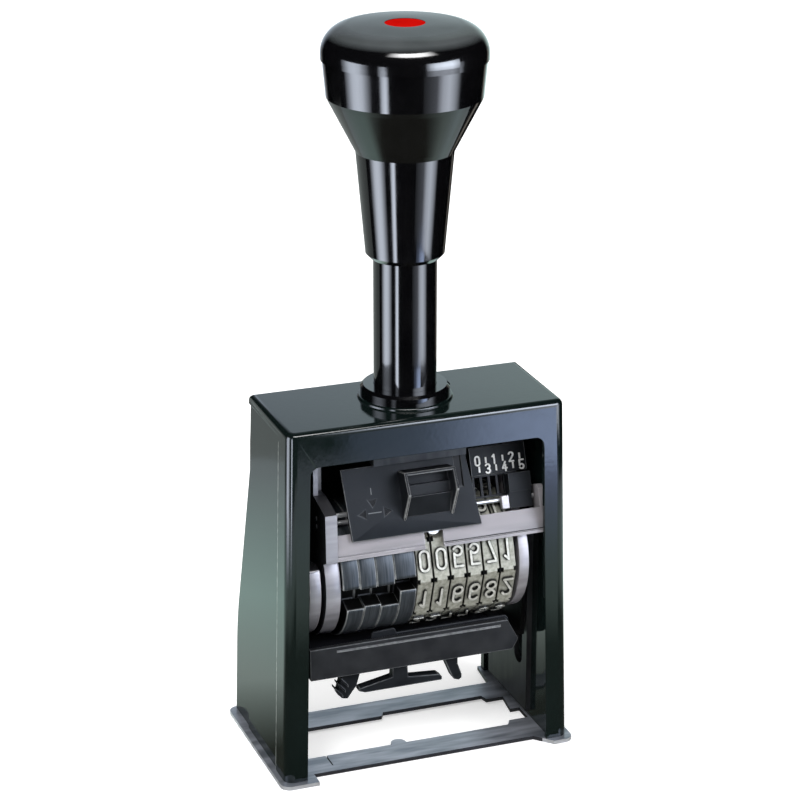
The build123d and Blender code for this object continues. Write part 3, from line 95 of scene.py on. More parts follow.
# ================================================================ materials
class Shader:
    """Principled material whose colour, roughness and bump vary with place on the piece."""

    def __init__(self, name, roughness=0.5, metallic=0.0, **inputs):
        self.material = bpy.data.materials.new(name)
        self.material.use_nodes = True
        self.tree = self.material.node_tree
        self.shader = self.tree.nodes["Principled BSDF"]
        self.shader.inputs["Roughness"].default_value = roughness
        self.shader.inputs["Metallic"].default_value = metallic
        for key, value in inputs.items():
            self.shader.inputs[key.replace("_", " ")].default_value = value
        self.place = self.node("ShaderNodeTexCoord").outputs["Object"]

    def node(self, kind, **settings):
        made = self.tree.nodes.new(kind)
        for key, value in settings.items():
            setattr(made, key, value)
        return made

    def join(self, source, target):
        self.tree.links.new(source, target)

    def feed(self, value, socket):
        """A number, a colour or another node's output into a socket."""
        if isinstance(value, tuple):
            socket.default_value = (*value, 1.0)
        elif isinstance(value, (int, float)):
            socket.default_value = value
        else:
            self.join(value, socket)

    # ------------------------------------------------ values
    def math(self, operation, *values):
        made = self.node("ShaderNodeMath", operation=operation)
        for socket, value in zip(made.inputs, values):
            self.feed(value, socket)
        return made.outputs[0]

    def all_of(self, first, *others):
        """Product: 1 only where every factor is 1."""
        for other in others:
            first = self.math("MULTIPLY", first, other)
        return first

    def length(self, first, second):
        """Length of a vector with these two parts."""
        squares = [self.math("MULTIPLY", part, part) for part in (first, second)]
        return self.math("SQRT", self.math("ADD", *squares))

    def span(self, source, low, high, to_low=0.0, to_high=1.0):
        """Source between low and high, mapped to to_low and to_high."""
        made = self.node("ShaderNodeMapRange")
        limits = (("From Min", low), ("From Max", high), ("To Min", to_low), ("To Max", to_high))
        for key, value in limits:
            made.inputs[key].default_value = value
        self.join(source, made.inputs["Value"])
        return made.outputs["Result"]

    def spread(self, source, low, high):
        """Source in 0.3 to 0.7, where most noise lies, mapped to low to high."""
        return self.span(source, 0.3, 0.7, low, high)

    def hump(self, source, start, full, ease, end):
        """0 up to start, 1 from full to ease, 0 from end."""
        return self.all_of(self.span(source, start, full), self.span(source, end, ease))

    def within(self, source, low, high):
        """1 where source lies between low and high, else 0."""
        above = self.math("GREATER_THAN", source, low)
        return self.all_of(above, self.math("LESS_THAN", source, high))

    def stripe(self, source, middle, half, where):
        """1 within half of the middle, inside the place given."""
        return self.all_of(self.within(source, middle - half, middle + half), where)

    # ------------------------------------------------ places
    def axis(self, letter):
        """One coordinate of the place on the piece, in metres."""
        parts = self.node("ShaderNodeSeparateXYZ")
        self.join(self.place, parts.inputs[0])
        return parts.outputs[letter]

    def past(self, letter, start):
        """One coordinate, counted from start."""
        return self.math("SUBTRACT", self.axis(letter), start)

    def facing(self, letter):
        """How far the surface faces along X, Y or Z, from -1 to 1."""
        parts = self.node("ShaderNodeSeparateXYZ")
        self.join(self.node("ShaderNodeNewGeometry").outputs["Normal"], parts.inputs[0])
        return parts.outputs[letter]

    def panel_place(self, share_y, share_z):
        """How far a point lies from panel_y and panel_z along a direction with these parts."""
        y = self.math("MULTIPLY", self.past("Y", panel_y), share_y)
        z = self.math("MULTIPLY", self.past("Z", panel_z), share_z)
        return self.math("ADD", y, z)

    def panel_height(self):
        """How far a point stands out from the leaning panel."""
        return self.panel_place(-cos(panel_lean), sin(panel_lean))

    def panel_slope(self):
        """How far a point lies up the slope of the leaning panel."""
        return self.panel_place(sin(panel_lean), cos(panel_lean))

    def drum_radius(self):
        """Distance from the axis of the figure wheels."""
        return self.length(self.past("Y", drum_y), self.past("Z", drum_z))

    def flat_height(self):
        """Distance from the wheels' axis, square to the nearest flat."""
        turn = self.math("ARCTAN2", self.past("Z", drum_z), self.past("Y", drum_y))
        faces = self.math("ADD", self.math("DIVIDE", turn, wheel_face_turn), 20.0)
        from_middle = self.math("SUBTRACT", self.math("FRACT", faces), 0.5)
        turn = self.math("MULTIPLY", from_middle, wheel_face_turn)
        return self.math("MULTIPLY", self.drum_radius(), self.math("COSINE", turn))

    # ------------------------------------------------ patterns
    def noise(self, size, detail=3.0, stretch=even):
        """Noise whose blotches are about size wide, drawn out along an axis by stretch."""
        mapping = self.node("ShaderNodeMapping")
        mapping.inputs["Scale"].default_value = [1 / (size * k) for k in stretch]
        self.join(self.place, mapping.inputs["Vector"])
        noise = self.node("ShaderNodeTexNoise")
        noise.inputs["Scale"].default_value = 1.0
        noise.inputs["Detail"].default_value = detail
        self.join(mapping.outputs["Vector"], noise.inputs["Vector"])
        return noise.outputs["Fac"]

    def wear_and_highlight(self):
        """1 on outward edges, 0 on faces and inward corners, broken up a little as wear is; edges it marks
        are pale partly from wear, partly as painted highlight.
        """
        pointed = self.node("ShaderNodeNewGeometry").outputs["Pointiness"]
        broken = self.spread(self.noise(1.1 * mm), 0.45, 1.0)
        return self.all_of(self.span(pointed, 0.52, 0.60), broken)

    def hollow(self, reach):
        """1 in corners and at the foot of raised marks, 0 on open faces."""
        made = self.node("ShaderNodeAmbientOcclusion", samples=8, only_local=True)
        made.inputs["Distance"].default_value = reach
        return self.span(made.outputs["AO"], 0.95, 0.6)

    # ------------------------------------------------ colours
    def ramp(self, source, stops):
        """Values of source turned into colours; stops are (position, colour)."""
        ramp = self.node("ShaderNodeValToRGB")
        elements = ramp.color_ramp.elements
        for index, (position, colour) in enumerate(stops):
            element = elements[index] if index < 2 else elements.new(position)
            element.position = position
            element.color = (*colour, 1.0)
        self.join(source, ramp.inputs["Fac"])
        return ramp.outputs["Color"]

    def drift(self, source, dark, light, start=0.3):
        """Colour that drifts from dark to light with noise, over the middle of its range."""
        return self.ramp(source, ((start, dark), (1 - start, light)))

    def blend(self, factor, first, second, kind="MIX"):
        made = self.node("ShaderNodeMix", data_type="RGBA", blend_type=kind)
        self.feed(factor, made.inputs["Factor"])
        self.feed(first, made.inputs[6])
        self.feed(second, made.inputs[7])
        return made.outputs[2]

    def mix(self, factor, first, second):
        """Colour that goes from first to second as factor goes from 0 to 1."""
        return self.blend(factor, first, second)

    def product(self, first, second):
        """Two colours multiplied."""
        return self.blend(1.0, first, second, "MULTIPLY")

    # ------------------------------------------------ inputs of the shader
    def colour(self, source):
        self.join(source, self.shader.inputs["Base Color"])

    def rough(self, source, low, high):
        """Roughness that drifts from low to high with noise."""
        self.join(self.spread(source, low, high), self.shader.inputs["Roughness"])

    def bump(self, source, height):
        made = self.node("ShaderNodeBump")
        made.inputs["Strength"].default_value = 1.0
        made.inputs["Distance"].default_value = height
        self.join(source, made.inputs["Height"])
        self.join(made.outputs["Normal"], self.shader.inputs["Normal"])

    def brush(self, grain, rough, stretch):
        """Roughness that follows the grain, with fine lines along it."""
        self.rough(grain, *rough)
        self.bump(self.noise(0.25 * mm, stretch=stretch), 0.006 * mm)

    def polish(self, rough=(0.07, 0.13)):
        """Faint wipe marks on a smooth moulding."""
        self.rough(self.noise(2.5 * mm, stretch=upright), *rough)
        self.bump(self.noise(0.9 * mm), 0.003 * mm)


def matte(name, dark, light, rough, size=6 * mm, **inputs):
    """Dull finish whose colour and roughness drift together."""
    made = Shader(name, **inputs)
    drift = made.noise(size)
    made.colour(made.drift(drift, dark, light, 0.35))
    made.rough(drift, *rough)
    return made.material


def brushed(name, dark, light, rough, stretch, metallic):
    """Bare metal with fine lines along one axis."""
    made = Shader(name, metallic=metallic)
    grain = made.noise(2.5 * mm, stretch=stretch)
    made.colour(made.drift(grain, dark, light, 0.35))
    made.brush(grain, rough, stretch)
    return made.material


def polished(name, dark, light, rough=(0.07, 0.13), **inputs):
    """Polished moulded plastic or enamel."""
    made = Shader(name, **inputs)
    made.colour(made.drift(made.noise(9 * mm), dark, light))
    made.polish(rough)
    return made.material


def wear_and_highlight_edge(name, base, pale, metallic=0.0):
    """For the rounded strips along edges: pale where the edge sticks out, partly wear and partly painted
    highlight; the base colour in corners.
    """
    made = Shader(name, roughness=0.45, metallic=metallic, Specular_IOR_Level=0.3)
    made.colour(made.mix(made.wear_and_highlight(), base, pale))
    return made.material


def lacquer(name="lacquer", edge_highlight=None):
    """Gloss lacquer on sheet: dark green grey, faint orange peel, and a painted highlight line along the
    edge of the front frame. The second argument is a painted highlight colour for the sides' rounded
    edges."""
    made = Shader(name, Specular_IOR_Level=0.5)
    base = made.drift(made.noise(22 * mm), (0.003, 0.0065, 0.006), (0.005, 0.009, 0.0085))
    side = made.all_of(
        made.math("GREATER_THAN", made.math("ABSOLUTE", made.axis("X")), casing_side_x),
        made.math("LESS_THAN", made.axis("Z"), casing_side_top_z),
        made.math("GREATER_THAN", made.math("ABSOLUTE", made.facing("X")), 0.9),
    )
    broken = made.span(made.noise(3 * mm, stretch=(1, 1, 0.4)), 0.40, 0.55, 0.45, 1.0)
    # Pale line along the edge of the front frame on the sides: a painted highlight.
    painted_line = made.all_of(made.stripe(made.axis("Y"), frame_edge_y, 0.2 * mm, side), broken)
    base = made.mix(painted_line, base, (0.42, 0.45, 0.43))
    # Pale colour on the rounded edges of the sides: a painted highlight.
    if edge_highlight:
        base = made.mix(made.all_of(side, made.wear_and_highlight()), base, edge_highlight)
    made.colour(base)
    made.rough(made.noise(3 * mm), 0.07, 0.12)
    made.bump(made.noise(1.1 * mm, detail=2.0), 0.008 * mm)
    return made.material


def wheel_metal():
    """Engraved wheel: cream metal, lighter on the figures' tops; painted shade darkens the foot and sides
    of the figures and the gaps between the wheels.
    """
    made = Shader("wheel_metal", metallic=0.2, Specular_IOR_Level=0.3)
    height = made.flat_height()
    wear_and_highlight = made.noise(0.9 * mm)
    cream = made.drift(wear_and_highlight, (0.20, 0.20, 0.165), (0.37, 0.37, 0.32))
    bright = made.drift(wear_and_highlight, (0.34, 0.34, 0.30), (0.60, 0.60, 0.56))
    # Darker round the foot of the figures: painted shade.
    ground = made.mix(made.hollow(0.7 * mm), cream, (0.008, 0.008, 0.007))
    raised = made.math("GREATER_THAN", height, wheel_flat_r)
    top = made.math("GREATER_THAN", height, figure_top_r)
    # Near-black sides of the figures: painted shade.
    faces = made.mix(top, made.mix(raised, ground, (0.02, 0.02, 0.018)), bright)
    # Near-black floor between the wheels: painted shade.
    in_gap = made.math("LESS_THAN", height, wheel_gap_r)
    made.colour(made.mix(in_gap, faces, (0.012, 0.012, 0.011)))
    made.rough(wear_and_highlight, 0.35, 0.55)
    made.bump(made.noise(0.3 * mm), 0.02 * mm)
    return made.material


def cast_cheek():
    """Zinc cheek: bright towards the front; its outer side, slanted top and lower end painted dark as
    shade.
    """
    made = Shader("cast_cheek", metallic=0.5)
    grain = made.noise(2.5 * mm, stretch=along_x)
    bright = made.drift(grain, (0.28, 0.275, 0.30), (0.40, 0.39, 0.42), 0.35)
    outer = made.span(made.facing("X"), -0.6, -0.9)
    upward = made.span(made.facing("Z"), 0.4, 0.7, 0.0, 0.85)
    foot_z, lit_z = cheek_shade_z
    lower = made.span(made.axis("Z"), lit_z, foot_z, 0.0, 0.8)
    # Dark on the outer side, the slanted top and the lower end: painted shade.
    painted_shade = made.math("MAXIMUM", outer, made.math("MAXIMUM", upward, lower))
    made.colour(made.mix(painted_shade, bright, (0.016, 0.017, 0.020)))
    made.brush(grain, (0.36, 0.5), along_x)
    return made.material


def bar_zinc():
    """Zinc bar with a painted shadow line above its rolled foot."""
    made = Shader("bar_zinc", metallic=0.12, Specular_IOR_Level=0.25)
    grain = made.noise(2.5 * mm, stretch=along_x)
    bright = made.drift(grain, (0.195, 0.187, 0.20), (0.285, 0.272, 0.29), 0.35)
    slope = made.panel_slope()
    lit = made.mix(made.span(slope, *bar_dull), bright, (0.245, 0.232, 0.245))
    # Dark line above the rolled foot: a painted shadow.
    painted_line = made.stripe(slope, *bar_shadow_line, made.within(made.axis("X"), *bar_shadow_line_x))
    made.colour(made.mix(painted_line, lit, (0.03, 0.03, 0.032)))
    made.brush(grain, (0.36, 0.5), along_x)
    return made.material


def inked_felt():
    """Felt soaked in ink: fibres and shallow pits."""
    made = Shader("ink_felt", Specular_IOR_Level=0.1)
    fibres = made.noise(0.35 * mm, detail=5.0, stretch=(3, 1, 1))
    made.colour(made.drift(fibres, (0.003, 0.003, 0.004), (0.010, 0.010, 0.014)))
    made.rough(fibres, 0.75, 0.95)
    made.bump(fibres, 0.12 * mm)
    return made.material


def plate_with_painted_edges():
    """Plated base: brushed faces; its upright edge faces painted dark as shade, and pale as painted
    highlight on its front tabs and left side.
    """
    made = Shader("plate_steel", metallic=0.7)
    stretch = (6, 1, 1)
    grain = made.noise(2.5 * mm, stretch=stretch)
    face = made.drift(grain, (0.24, 0.26, 0.30), (0.52, 0.54, 0.60), 0.35)
    cut_edge = made.math("LESS_THAN", made.math("ABSOLUTE", made.facing("Z")), 0.6)
    front = made.all_of(
        made.math("LESS_THAN", made.axis("Y"), tab_y),
        made.math("GREATER_THAN", made.math("ABSOLUTE", made.axis("X")), tab_inner_x),
    )
    left = made.math("LESS_THAN", made.axis("X"), plate_left_x)
    # Upright edge faces: painted shade, with a painted highlight on the front tabs and the left side.
    edge_light_and_shade = made.mix(made.math("MAXIMUM", front, left), (0.07, 0.07, 0.08), (0.85, 0.85, 0.87))
    made.colour(made.mix(cut_edge, face, edge_light_and_shade))
    made.brush(grain, (0.3, 0.45), stretch)
    return made.material


def cap_black():
    """Knob cap: gloss black, its top and upper shoulder painted grey as a reflected sheen."""
    made = Shader("cap_black", Coat_Weight=0.3)
    # Grey on the upward faces: a painted reflection.
    painted_sheen = made.span(made.facing("Z"), 0.58, 0.78)
    sheen_grey = made.drift(made.noise(9 * mm), (0.060, 0.068, 0.070), (0.078, 0.086, 0.090))
    made.colour(made.mix(painted_sheen, (0.0025, 0.0025, 0.003), sheen_grey))
    made.polish()
    return made.material


def blackened():
    """Oxide-blackened cams with fine turning lines: grey on the outer faces, painted black in the notches
    as shade.
    """
    made = Shader("blackened", metallic=0.5, Specular_IOR_Level=0.2)
    turned = made.noise(1.2 * mm, stretch=(0.35, 6, 6))
    outer = made.drift(turned, (0.030, 0.036, 0.042), (0.070, 0.078, 0.088))
    notch_r, face_r = cam_rim_r
    # Black in the notches: painted shade.
    made.colour(made.mix(made.span(made.drum_radius(), face_r, notch_r), outer, (0.003, 0.003, 0.003)))
    made.rough(turned, 0.32, 0.45)
    made.bump(turned, 0.006 * mm)
    return made.material


def release_black():
    """Satin black plate with two thin guide lines; its sunk marks and recess are black."""
    made = Shader("release_black", Specular_IOR_Level=0.16)
    drift = made.noise(6 * mm)
    base = made.drift(drift, (0.0050, 0.0062, 0.0085), (0.0085, 0.0105, 0.0135))
    slope, across = made.panel_slope(), made.axis("X")
    upright_x, *upright_ends = upright_guide
    level_slope, *level_ends = level_guide
    lines = made.math(
        "MAXIMUM",
        made.stripe(across, upright_x, guide_half, made.within(slope, *upright_ends)),
        made.stripe(slope, level_slope, guide_half, made.within(across, *level_ends)),
    )
    ruled = made.mix(lines, base, (0.13, 0.14, 0.15))
    sunk = made.within(made.panel_height(), plate_face - recess_depth, plate_face - mark_depth)
    made.colour(made.mix(sunk, ruled, (0.001, 0.001, 0.0015)))
    made.rough(drift, 0.42, 0.55)
    made.bump(made.noise(0.8 * mm), 0.006 * mm)
    return made.material


gloss_black = ((0.0015, 0.0015, 0.002), (0.003, 0.003, 0.0035))
knob_black = polished("knob_black", *gloss_black, Coat_Weight=0.3)
enamel_black = polished("enamel_black", *gloss_black, Coat_Weight=0.3)
cap_finish = cap_black()
badge_red = polished(
    "badge_red", (0.42, 0.003, 0.002), (0.52, 0.005, 0.003), (0.55, 0.65), Specular_IOR_Level=0.0
)
housing_lacquer = lacquer()
plate_steel = plate_with_painted_edges()
dark_steel = brushed(
    "dark_steel", (0.025, 0.026, 0.028), (0.05, 0.052, 0.055), (0.35, 0.55), upright, 0.6
)
bright_steel = brushed(
    "bright_steel", (0.42, 0.43, 0.44), (0.60, 0.61, 0.62), (0.25, 0.4), (4, 1, 1), 0.7
)
zinc = brushed("zinc", (0.30, 0.285, 0.30), (0.42, 0.40, 0.42), (0.36, 0.5), along_x, 0.5)
cheek_zinc = cast_cheek()
bar_finish = bar_zinc()
wheels_finish = wheel_metal()
cam_black = blackened()
plate_black = release_black()
matte_black = matte(
    "matte_black", (0.0050, 0.0058, 0.0075), (0.0085, 0.0098, 0.0120), (0.42, 0.6), Specular_IOR_Level=0.16
)
deep_black = matte(
    "deep_black", (0.003, 0.003, 0.003), (0.006, 0.006, 0.006), (0.5, 0.7), Specular_IOR_Level=0.1
)
tray_black = matte(
    "tray_black", (0.010, 0.0105, 0.0125), (0.017, 0.018, 0.020), (0.42, 0.6), Specular_IOR_Level=0.2
)
marks_white = matte("white_marks", (0.86, 0.86, 0.85), (0.97, 0.97, 0.96), (0.4, 0.6), 0.7 * mm)
felt = inked_felt()

finishes = {
    housing_lacquer: ("housing_shell",),
    knob_black: ("knob_body", "handle_sleeve"),
    cap_finish: ("knob_cap",),
    badge_red: ("knob_badge",),
    enamel_black: ("shaft_tube", "guide_bush"),
    plate_steel: ("base_plate",),
    dark_steel: (
        "base_screws", "left_guide_plate", "right_guide_plate", "guide_screws", "bush_nut",
        "stop_pin", "spring_seat", "return_spring", "shaft_plug", "shaft_pin", "bridge_plate",
        "bridge_screws", "pawl_shaft", "follower_pins", "knob_nut",
    ),
    bright_steel: ("wheel_axle", "axle_spacer", "bar_screw", "selector_rod", "release_rod"),
    cheek_zinc: ("left_cheek", "pad_hub"),
    bar_finish: ("front_bar",),
    zinc: ("right_cheek", "selector_tab"),
    matte_black: (
        "scale_plate", "detent_comb", "release_grip", "selector_block",
        "pad_clip", "thumb_tab", "latch_lever",
    ),
    tray_black: ("pad_tray",),
    deep_black: ("left_pad_arm", "right_pad_arm", "pad_carrier", "pawl_carrier"),
    plate_black: ("release_plate",),
    marks_white: ("scale_figures",),
    cam_black: tuple(f"repeat_cam_{k}" for k in range(1, 5)),
    wheels_finish: tuple(f"number_wheel_{k}" for k in range(1, 7)),
}
for finish, names in finishes.items():
    for name in names:
        nodes[name].data.materials.clear()
        nodes[name].data.materials.append(finish)

# ================================================================ rounded edges
# Finishes of the rounded edges: their pale colours are partly wear, partly painted highlight.
edge_lacquer = lacquer("edge_lacquer", (0.16, 0.18, 0.17))
edge_black = wear_and_highlight_edge("edge_black", (0.007, 0.008, 0.010), (0.22, 0.23, 0.24))
edge_grip = wear_and_highlight_edge("edge_grip", (0.007, 0.008, 0.010), (0.42, 0.43, 0.43))
edge_cam = wear_and_highlight_edge("edge_cam", (0.02, 0.022, 0.024), (0.52, 0.54, 0.54), metallic=0.2)
edge_zinc = wear_and_highlight_edge("edge_zinc", (0.22, 0.21, 0.22), (0.72, 0.71, 0.73), metallic=0.4)

edge_angle = radians(28)
seam_gap = 0.002 * mm
edge_widths = {
    edge_lacquer: {"housing_shell": 0.16},
    edge_zinc: {
        "front_bar": 0.25, "left_cheek": 0.35, "right_cheek": 0.3, "selector_tab": 0.2, "pad_hub": 0.35,
    },
    edge_black: {
        "release_plate": 0.22, "selector_block": 0.22, "pad_tray": 0.25,
        "pad_clip": 0.25, "thumb_tab": 0.25, "latch_lever": 0.25, "bridge_plate": 0.3,
        "scale_plate": 0.15, "detent_comb": 0.12,
    },
    edge_grip: {"release_grip": 0.32},
    edge_cam: {f"repeat_cam_{k}": 0.3 for k in range(1, 5)},
}


def round_edges(piece, width, wear_and_highlight):
    """Weld the mesh's seams and round its sharp edges, with the pale-edged finish (wear and painted
    highlight) on the rounded strips.
    """
    piece.data.materials.append(wear_and_highlight)
    weld = piece.modifiers.new("weld", "WELD")
    weld.merge_threshold = seam_gap
    bevel = piece.modifiers.new("edges", "BEVEL")
    bevel.width = width
    bevel.segments = 2
    bevel.limit_method = "ANGLE"
    bevel.angle_limit = edge_angle
    bevel.material = 1
    # The fine facets of the casing's bends would clamp its edges to nothing.
    bevel.use_clamp_overlap = wear_and_highlight != edge_lacquer


for wear_and_highlight, widths in edge_widths.items():
    for name, width in widths.items():
        round_edges(nodes[name], width * mm, wear_and_highlight)


# ================================================================ making pieces
def link(made):
    bpy.context.scene.collection.objects.link(made)
    return made


def new_object(name, points, faces, finish=None):
    """Mesh object in the scene."""
    mesh = bpy.data.meshes.new(name)
    mesh.from_pydata([Vector(point) for point in points], [], faces)
    if finish:
        mesh.materials.append(finish)
    return link(bpy.data.objects.new(name, mesh))


def walls(ring, step):
    """Faces between a closed ring of points and the same ring step further on in the list."""
    return [(b, a, a + step, b + step) for a, b in zip(ring, ring[1:] + ring[:1])]


def stand_for(made, node, body):
    """The piece is shown instead of a CAD node and moves with a body."""
    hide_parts(node)
    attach(made, body)


# ================================================================ ink pad
pad_corner = 1.2 * mm  # radius of the felt's upright corners
pad_round = 0.8 * mm  # roll of its upper edge
pad_sag = 0.25 * mm
pad_nap = 0.07 * mm
nap_size = 0.7 * mm
pad_cells = (90, 42)  # columns and rows of its mesh


def inside_rounded(x, y, half_x, half_y, radius):
    """How far a point lies inside a rectangle with round corners."""
    dx, dy = abs(x) - (half_x - radius), abs(y) - (half_y - radius)
    outside = Vector((max(dx, 0.0), max(dy, 0.0), 0.0)).length
    return radius - outside - min(max(dx, dy), 0.0)


def make_felt():
    """Ink felt: a closed pad with rolled edges and a napped top that sinks a little in the middle."""
    middle = (pad_low + pad_high) / 2
    half_x, half_y = (pad_high.x - pad_low.x) / 2, (pad_high.y - pad_low.y) / 2
    columns, rows = pad_cells
    row_step = columns + 1
    top, bottom = [], []
    for j in range(rows + 1):
        for i in range(columns + 1):
            x, y = (2 * i / columns - 1) * half_x, (2 * j / rows - 1) * half_y
            inside = inside_rounded(x, y, half_x, half_y, pad_corner)
            if inside < 0:
                shrink = 1 + inside / Vector((x, y, 0)).length
                x, y, inside = x * shrink, y * shrink, 0.0
            roll = max(0.0, pad_round - inside)
            drop = pad_round - (pad_round**2 - roll**2) ** 0.5
            sag = pad_sag * (1 - (x / half_x) ** 2) * (1 - (y / half_y) ** 2)
            nap = pad_nap * noise.noise(Vector((x, y, 0)) / nap_size)
            top.append((middle.x + x, middle.y + y, pad_high.z - pad_nap - drop - sag + nap))
            bottom.append((middle.x + x, middle.y + y, pad_low.z))
    count = len(top)
    faces = []
    for j in range(rows):
        for i in range(columns):
            a = j * row_step + i
            b, c, d = a + 1, a + row_step + 1, a + row_step
            faces += [(a, b, c, d), (count + d, count + c, count + b, count + a)]
    border = list(range(row_step))
    border += [j * row_step + columns for j in range(1, rows + 1)]
    border += [rows * row_step + i for i in range(columns - 1, -1, -1)]
    border += [j * row_step for j in range(rows - 1, 0, -1)]
    faces += walls(border, count)
    made = new_object("ink_felt", top + bottom, faces, felt)
    made.data.shade_smooth()
    stand_for(made, "ink_pad", "pad_holder")


rim_t = 0.7 * mm
rim_edge = 0.18 * mm  # rounding
# X and Z of the rim's face in millimetres: foot, finger tab, low wall, foot.
rim_outline = (
    (-13.4, 32.2), (-13.2, 35.4), (-12.7, 35.9), (-7.4, 36.2), (-6.9, 35.7), (-6.7, 34.9),
    (22.4, 34.9), (23.2, 34.2), (23.4, 32.2),
)


def make_cassette_rim():
    """Front rim of the ink cassette with its finger tab, standing just over the tray's wall."""
    front = pad_low.y
    points = [(x * mm, y, z * mm) for y in (front, front + rim_t) for x, z in rim_outline]
    count = len(rim_outline)
    face = tuple(range(count))
    back = tuple(count + k for k in reversed(face))
    made = new_object("cassette_rim", points, [face, back] + walls(face, count), matte_black)
    round_edges(made, rim_edge, edge_black)
    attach(made, "pad_holder")


# ================================================================ return spring
spring_wire_r = 0.5 * mm
spring_turns = 13
turn_steps = 28  # rings of points to a turn
wire_sides = 10


def make_spring():
    """Coil of wire filling the return spring's place, from its lower seat to its top."""
    middle = (spring_low + spring_high) / 2
    height = spring_high.z - spring_low.z
    radius = (spring_high.x - spring_low.x) / 2 - spring_wire_r
    rings = spring_turns * turn_steps
    points = []
    for ring in range(rings + 1):
        turn = ring / turn_steps * 2 * pi
        out = Vector((cos(turn), sin(turn), 0.0))
        z = spring_low.z + spring_wire_r + (height - 2 * spring_wire_r) * ring / rings
        centre = Vector((middle.x, middle.y, z))
        for side in range(wire_sides):
            angle = 2 * pi * side / wire_sides
            rise = Vector((0.0, 0.0, spring_wire_r * sin(angle)))
            points.append(centre + out * (radius + spring_wire_r * cos(angle)) + rise)
    start = tuple(range(wire_sides))
    end = tuple(reversed(range(rings * wire_sides, len(points))))
    faces = [start, end]
    for ring in range(rings):
        faces += walls(tuple(ring * wire_sides + side for side in start), wire_sides)
    made = new_object("spring_coil", points, faces, dark_steel)
    made.data.shade_smooth()
    stand_for(made, "return_spring", "housing")
    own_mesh(made)


make_felt()
make_cassette_rim()
make_spring()

# ================================================================ surroundings and floor
white = (1.0, 1.0, 1.0)
world_strength = 0.6
floor_half = 3.0
floor_z = -0.02 * mm
floor_lift = 0.35  # glow that shows the paper as white


def seen_directly(tree):
    """1 for rays from the camera and for mirror and see-through rays, else 0."""
    path = tree.nodes.new("ShaderNodeLightPath")
    total = path.outputs["Is Camera Ray"]
    for key in ("Is Glossy Ray", "Is Transmission Ray"):
        add = tree.nodes.new("ShaderNodeMath")
        add.operation = "MAXIMUM"
        tree.links.new(total, add.inputs[0])
        tree.links.new(path.outputs[key], add.inputs[1])
        total = add.outputs[0]
    return total


def make_world():
    """Pale surroundings, white where they are seen and at a plain level as light."""
    world = bpy.data.worlds.new("studio")
    bpy.context.scene.world = world
    world.use_nodes = True
    tree = world.node_tree
    background = tree.nodes["Background"]
    background.inputs["Color"].default_value = (*white, 1.0)
    level = tree.nodes.new("ShaderNodeMapRange")
    level.inputs["To Min"].default_value = world_strength
    level.inputs["To Max"].default_value = 1.0
    tree.links.new(seen_directly(tree), level.inputs["Value"])
    tree.links.new(level.outputs["Result"], background.inputs["Strength"])


def new_level(name, half, z):
    """Level square round the origin."""
    corners = ((-half, -half, z), (half, -half, z), (half, half, z), (-half, half, z))
    return new_object(name, corners, [(0, 1, 2, 3)])


def make_floor():
    """White paper sweep that keeps the object's soft shadow."""
    floor = new_level("floor", floor_half, floor_z)
    material = bpy.data.materials.new("floor_paper")
    material.use_nodes = True
    tree = material.node_tree
    paper = tree.nodes["Principled BSDF"]
    paper.inputs["Base Color"].default_value = (0.9, 0.9, 0.9, 1.0)
    paper.inputs["Roughness"].default_value = 0.95
    paper.inputs["Specular IOR Level"].default_value = 0.0
    paper.inputs["Emission Color"].default_value = (*white, 1.0)
    lift = tree.nodes.new("ShaderNodeMath")
    lift.operation = "MULTIPLY"
    lift.inputs[1].default_value = floor_lift
    tree.links.new(seen_directly(tree), lift.inputs[0])
    tree.links.new(lift.outputs[0], paper.inputs["Emission Strength"])
    floor.data.materials.append(material)


# ================================================================ camera and lamps
# Camera fitted to the picture: distance, turn and tilt about a point on the machine's middle.
picture_side = 800
focal_pixels = 2728.23
centre_shift = (6.44, 25.19)  # pixels from the picture's middle to the lens axis
camera_distance = 669.23 * mm
camera_turn = radians(-20.38)
camera_tilt = radians(20.9)
camera_aim = Vector((0.0, -5 * mm, 85 * mm))
sensor_width = 36.0
lamp_aim = Vector((0.0, 0.0, 80 * mm))


def make_camera():
    """Camera at the picture's viewing angle."""
    data = bpy.data.cameras.new("camera")
    data.sensor_width = sensor_width
    data.lens = focal_pixels / picture_side * sensor_width
    data.shift_x = -centre_shift[0] / picture_side
    data.shift_y = centre_shift[1] / picture_side
    data.clip_start, data.clip_end = 0.01, 20.0
    camera = link(bpy.data.objects.new("camera", data))
    level = cos(camera_tilt)
    back = Vector((sin(camera_turn) * level, -cos(camera_turn) * level, sin(camera_tilt)))
    camera.location = camera_aim + back * camera_distance
    camera.rotation_mode = "QUATERNION"
    camera.rotation_quaternion = (-back).to_track_quat("-Z", "Y")
    bpy.context.scene.camera = camera


def area_light(name, place, size, watts):
    """Soft box that faces the machine."""
    data = bpy.data.lights.new(name, "AREA")
    data.shape = "RECTANGLE"
    data.size, data.size_y = size
    data.energy = watts
    lamp = link(bpy.data.objects.new(name, data))
    lamp.location = place
    lamp.rotation_mode = "QUATERNION"
    lamp.rotation_quaternion = (lamp_aim - Vector(place)).to_track_quat("-Z", "Y")
    lamp.visible_glossy = False


make_world()
make_floor()
make_camera()
area_light("key", (-0.5, -0.55, 0.75), (0.4, 0.4), 6.0)
area_light("fill", (0.6, -0.6, 0.5), (0.4, 0.6), 3.0)
area_light("back", (0.2, 0.7, 0.7), (0.5, 0.3), 3.0)

# ================================================================ reflection cards
card_radius = 230 * mm
card_step = 4  # degrees to a facet
cool = (0.80, 0.87, 1.0)
warm = (1.0, 0.93, 0.82)
lid_half = 0.3
lid_z = 0.69


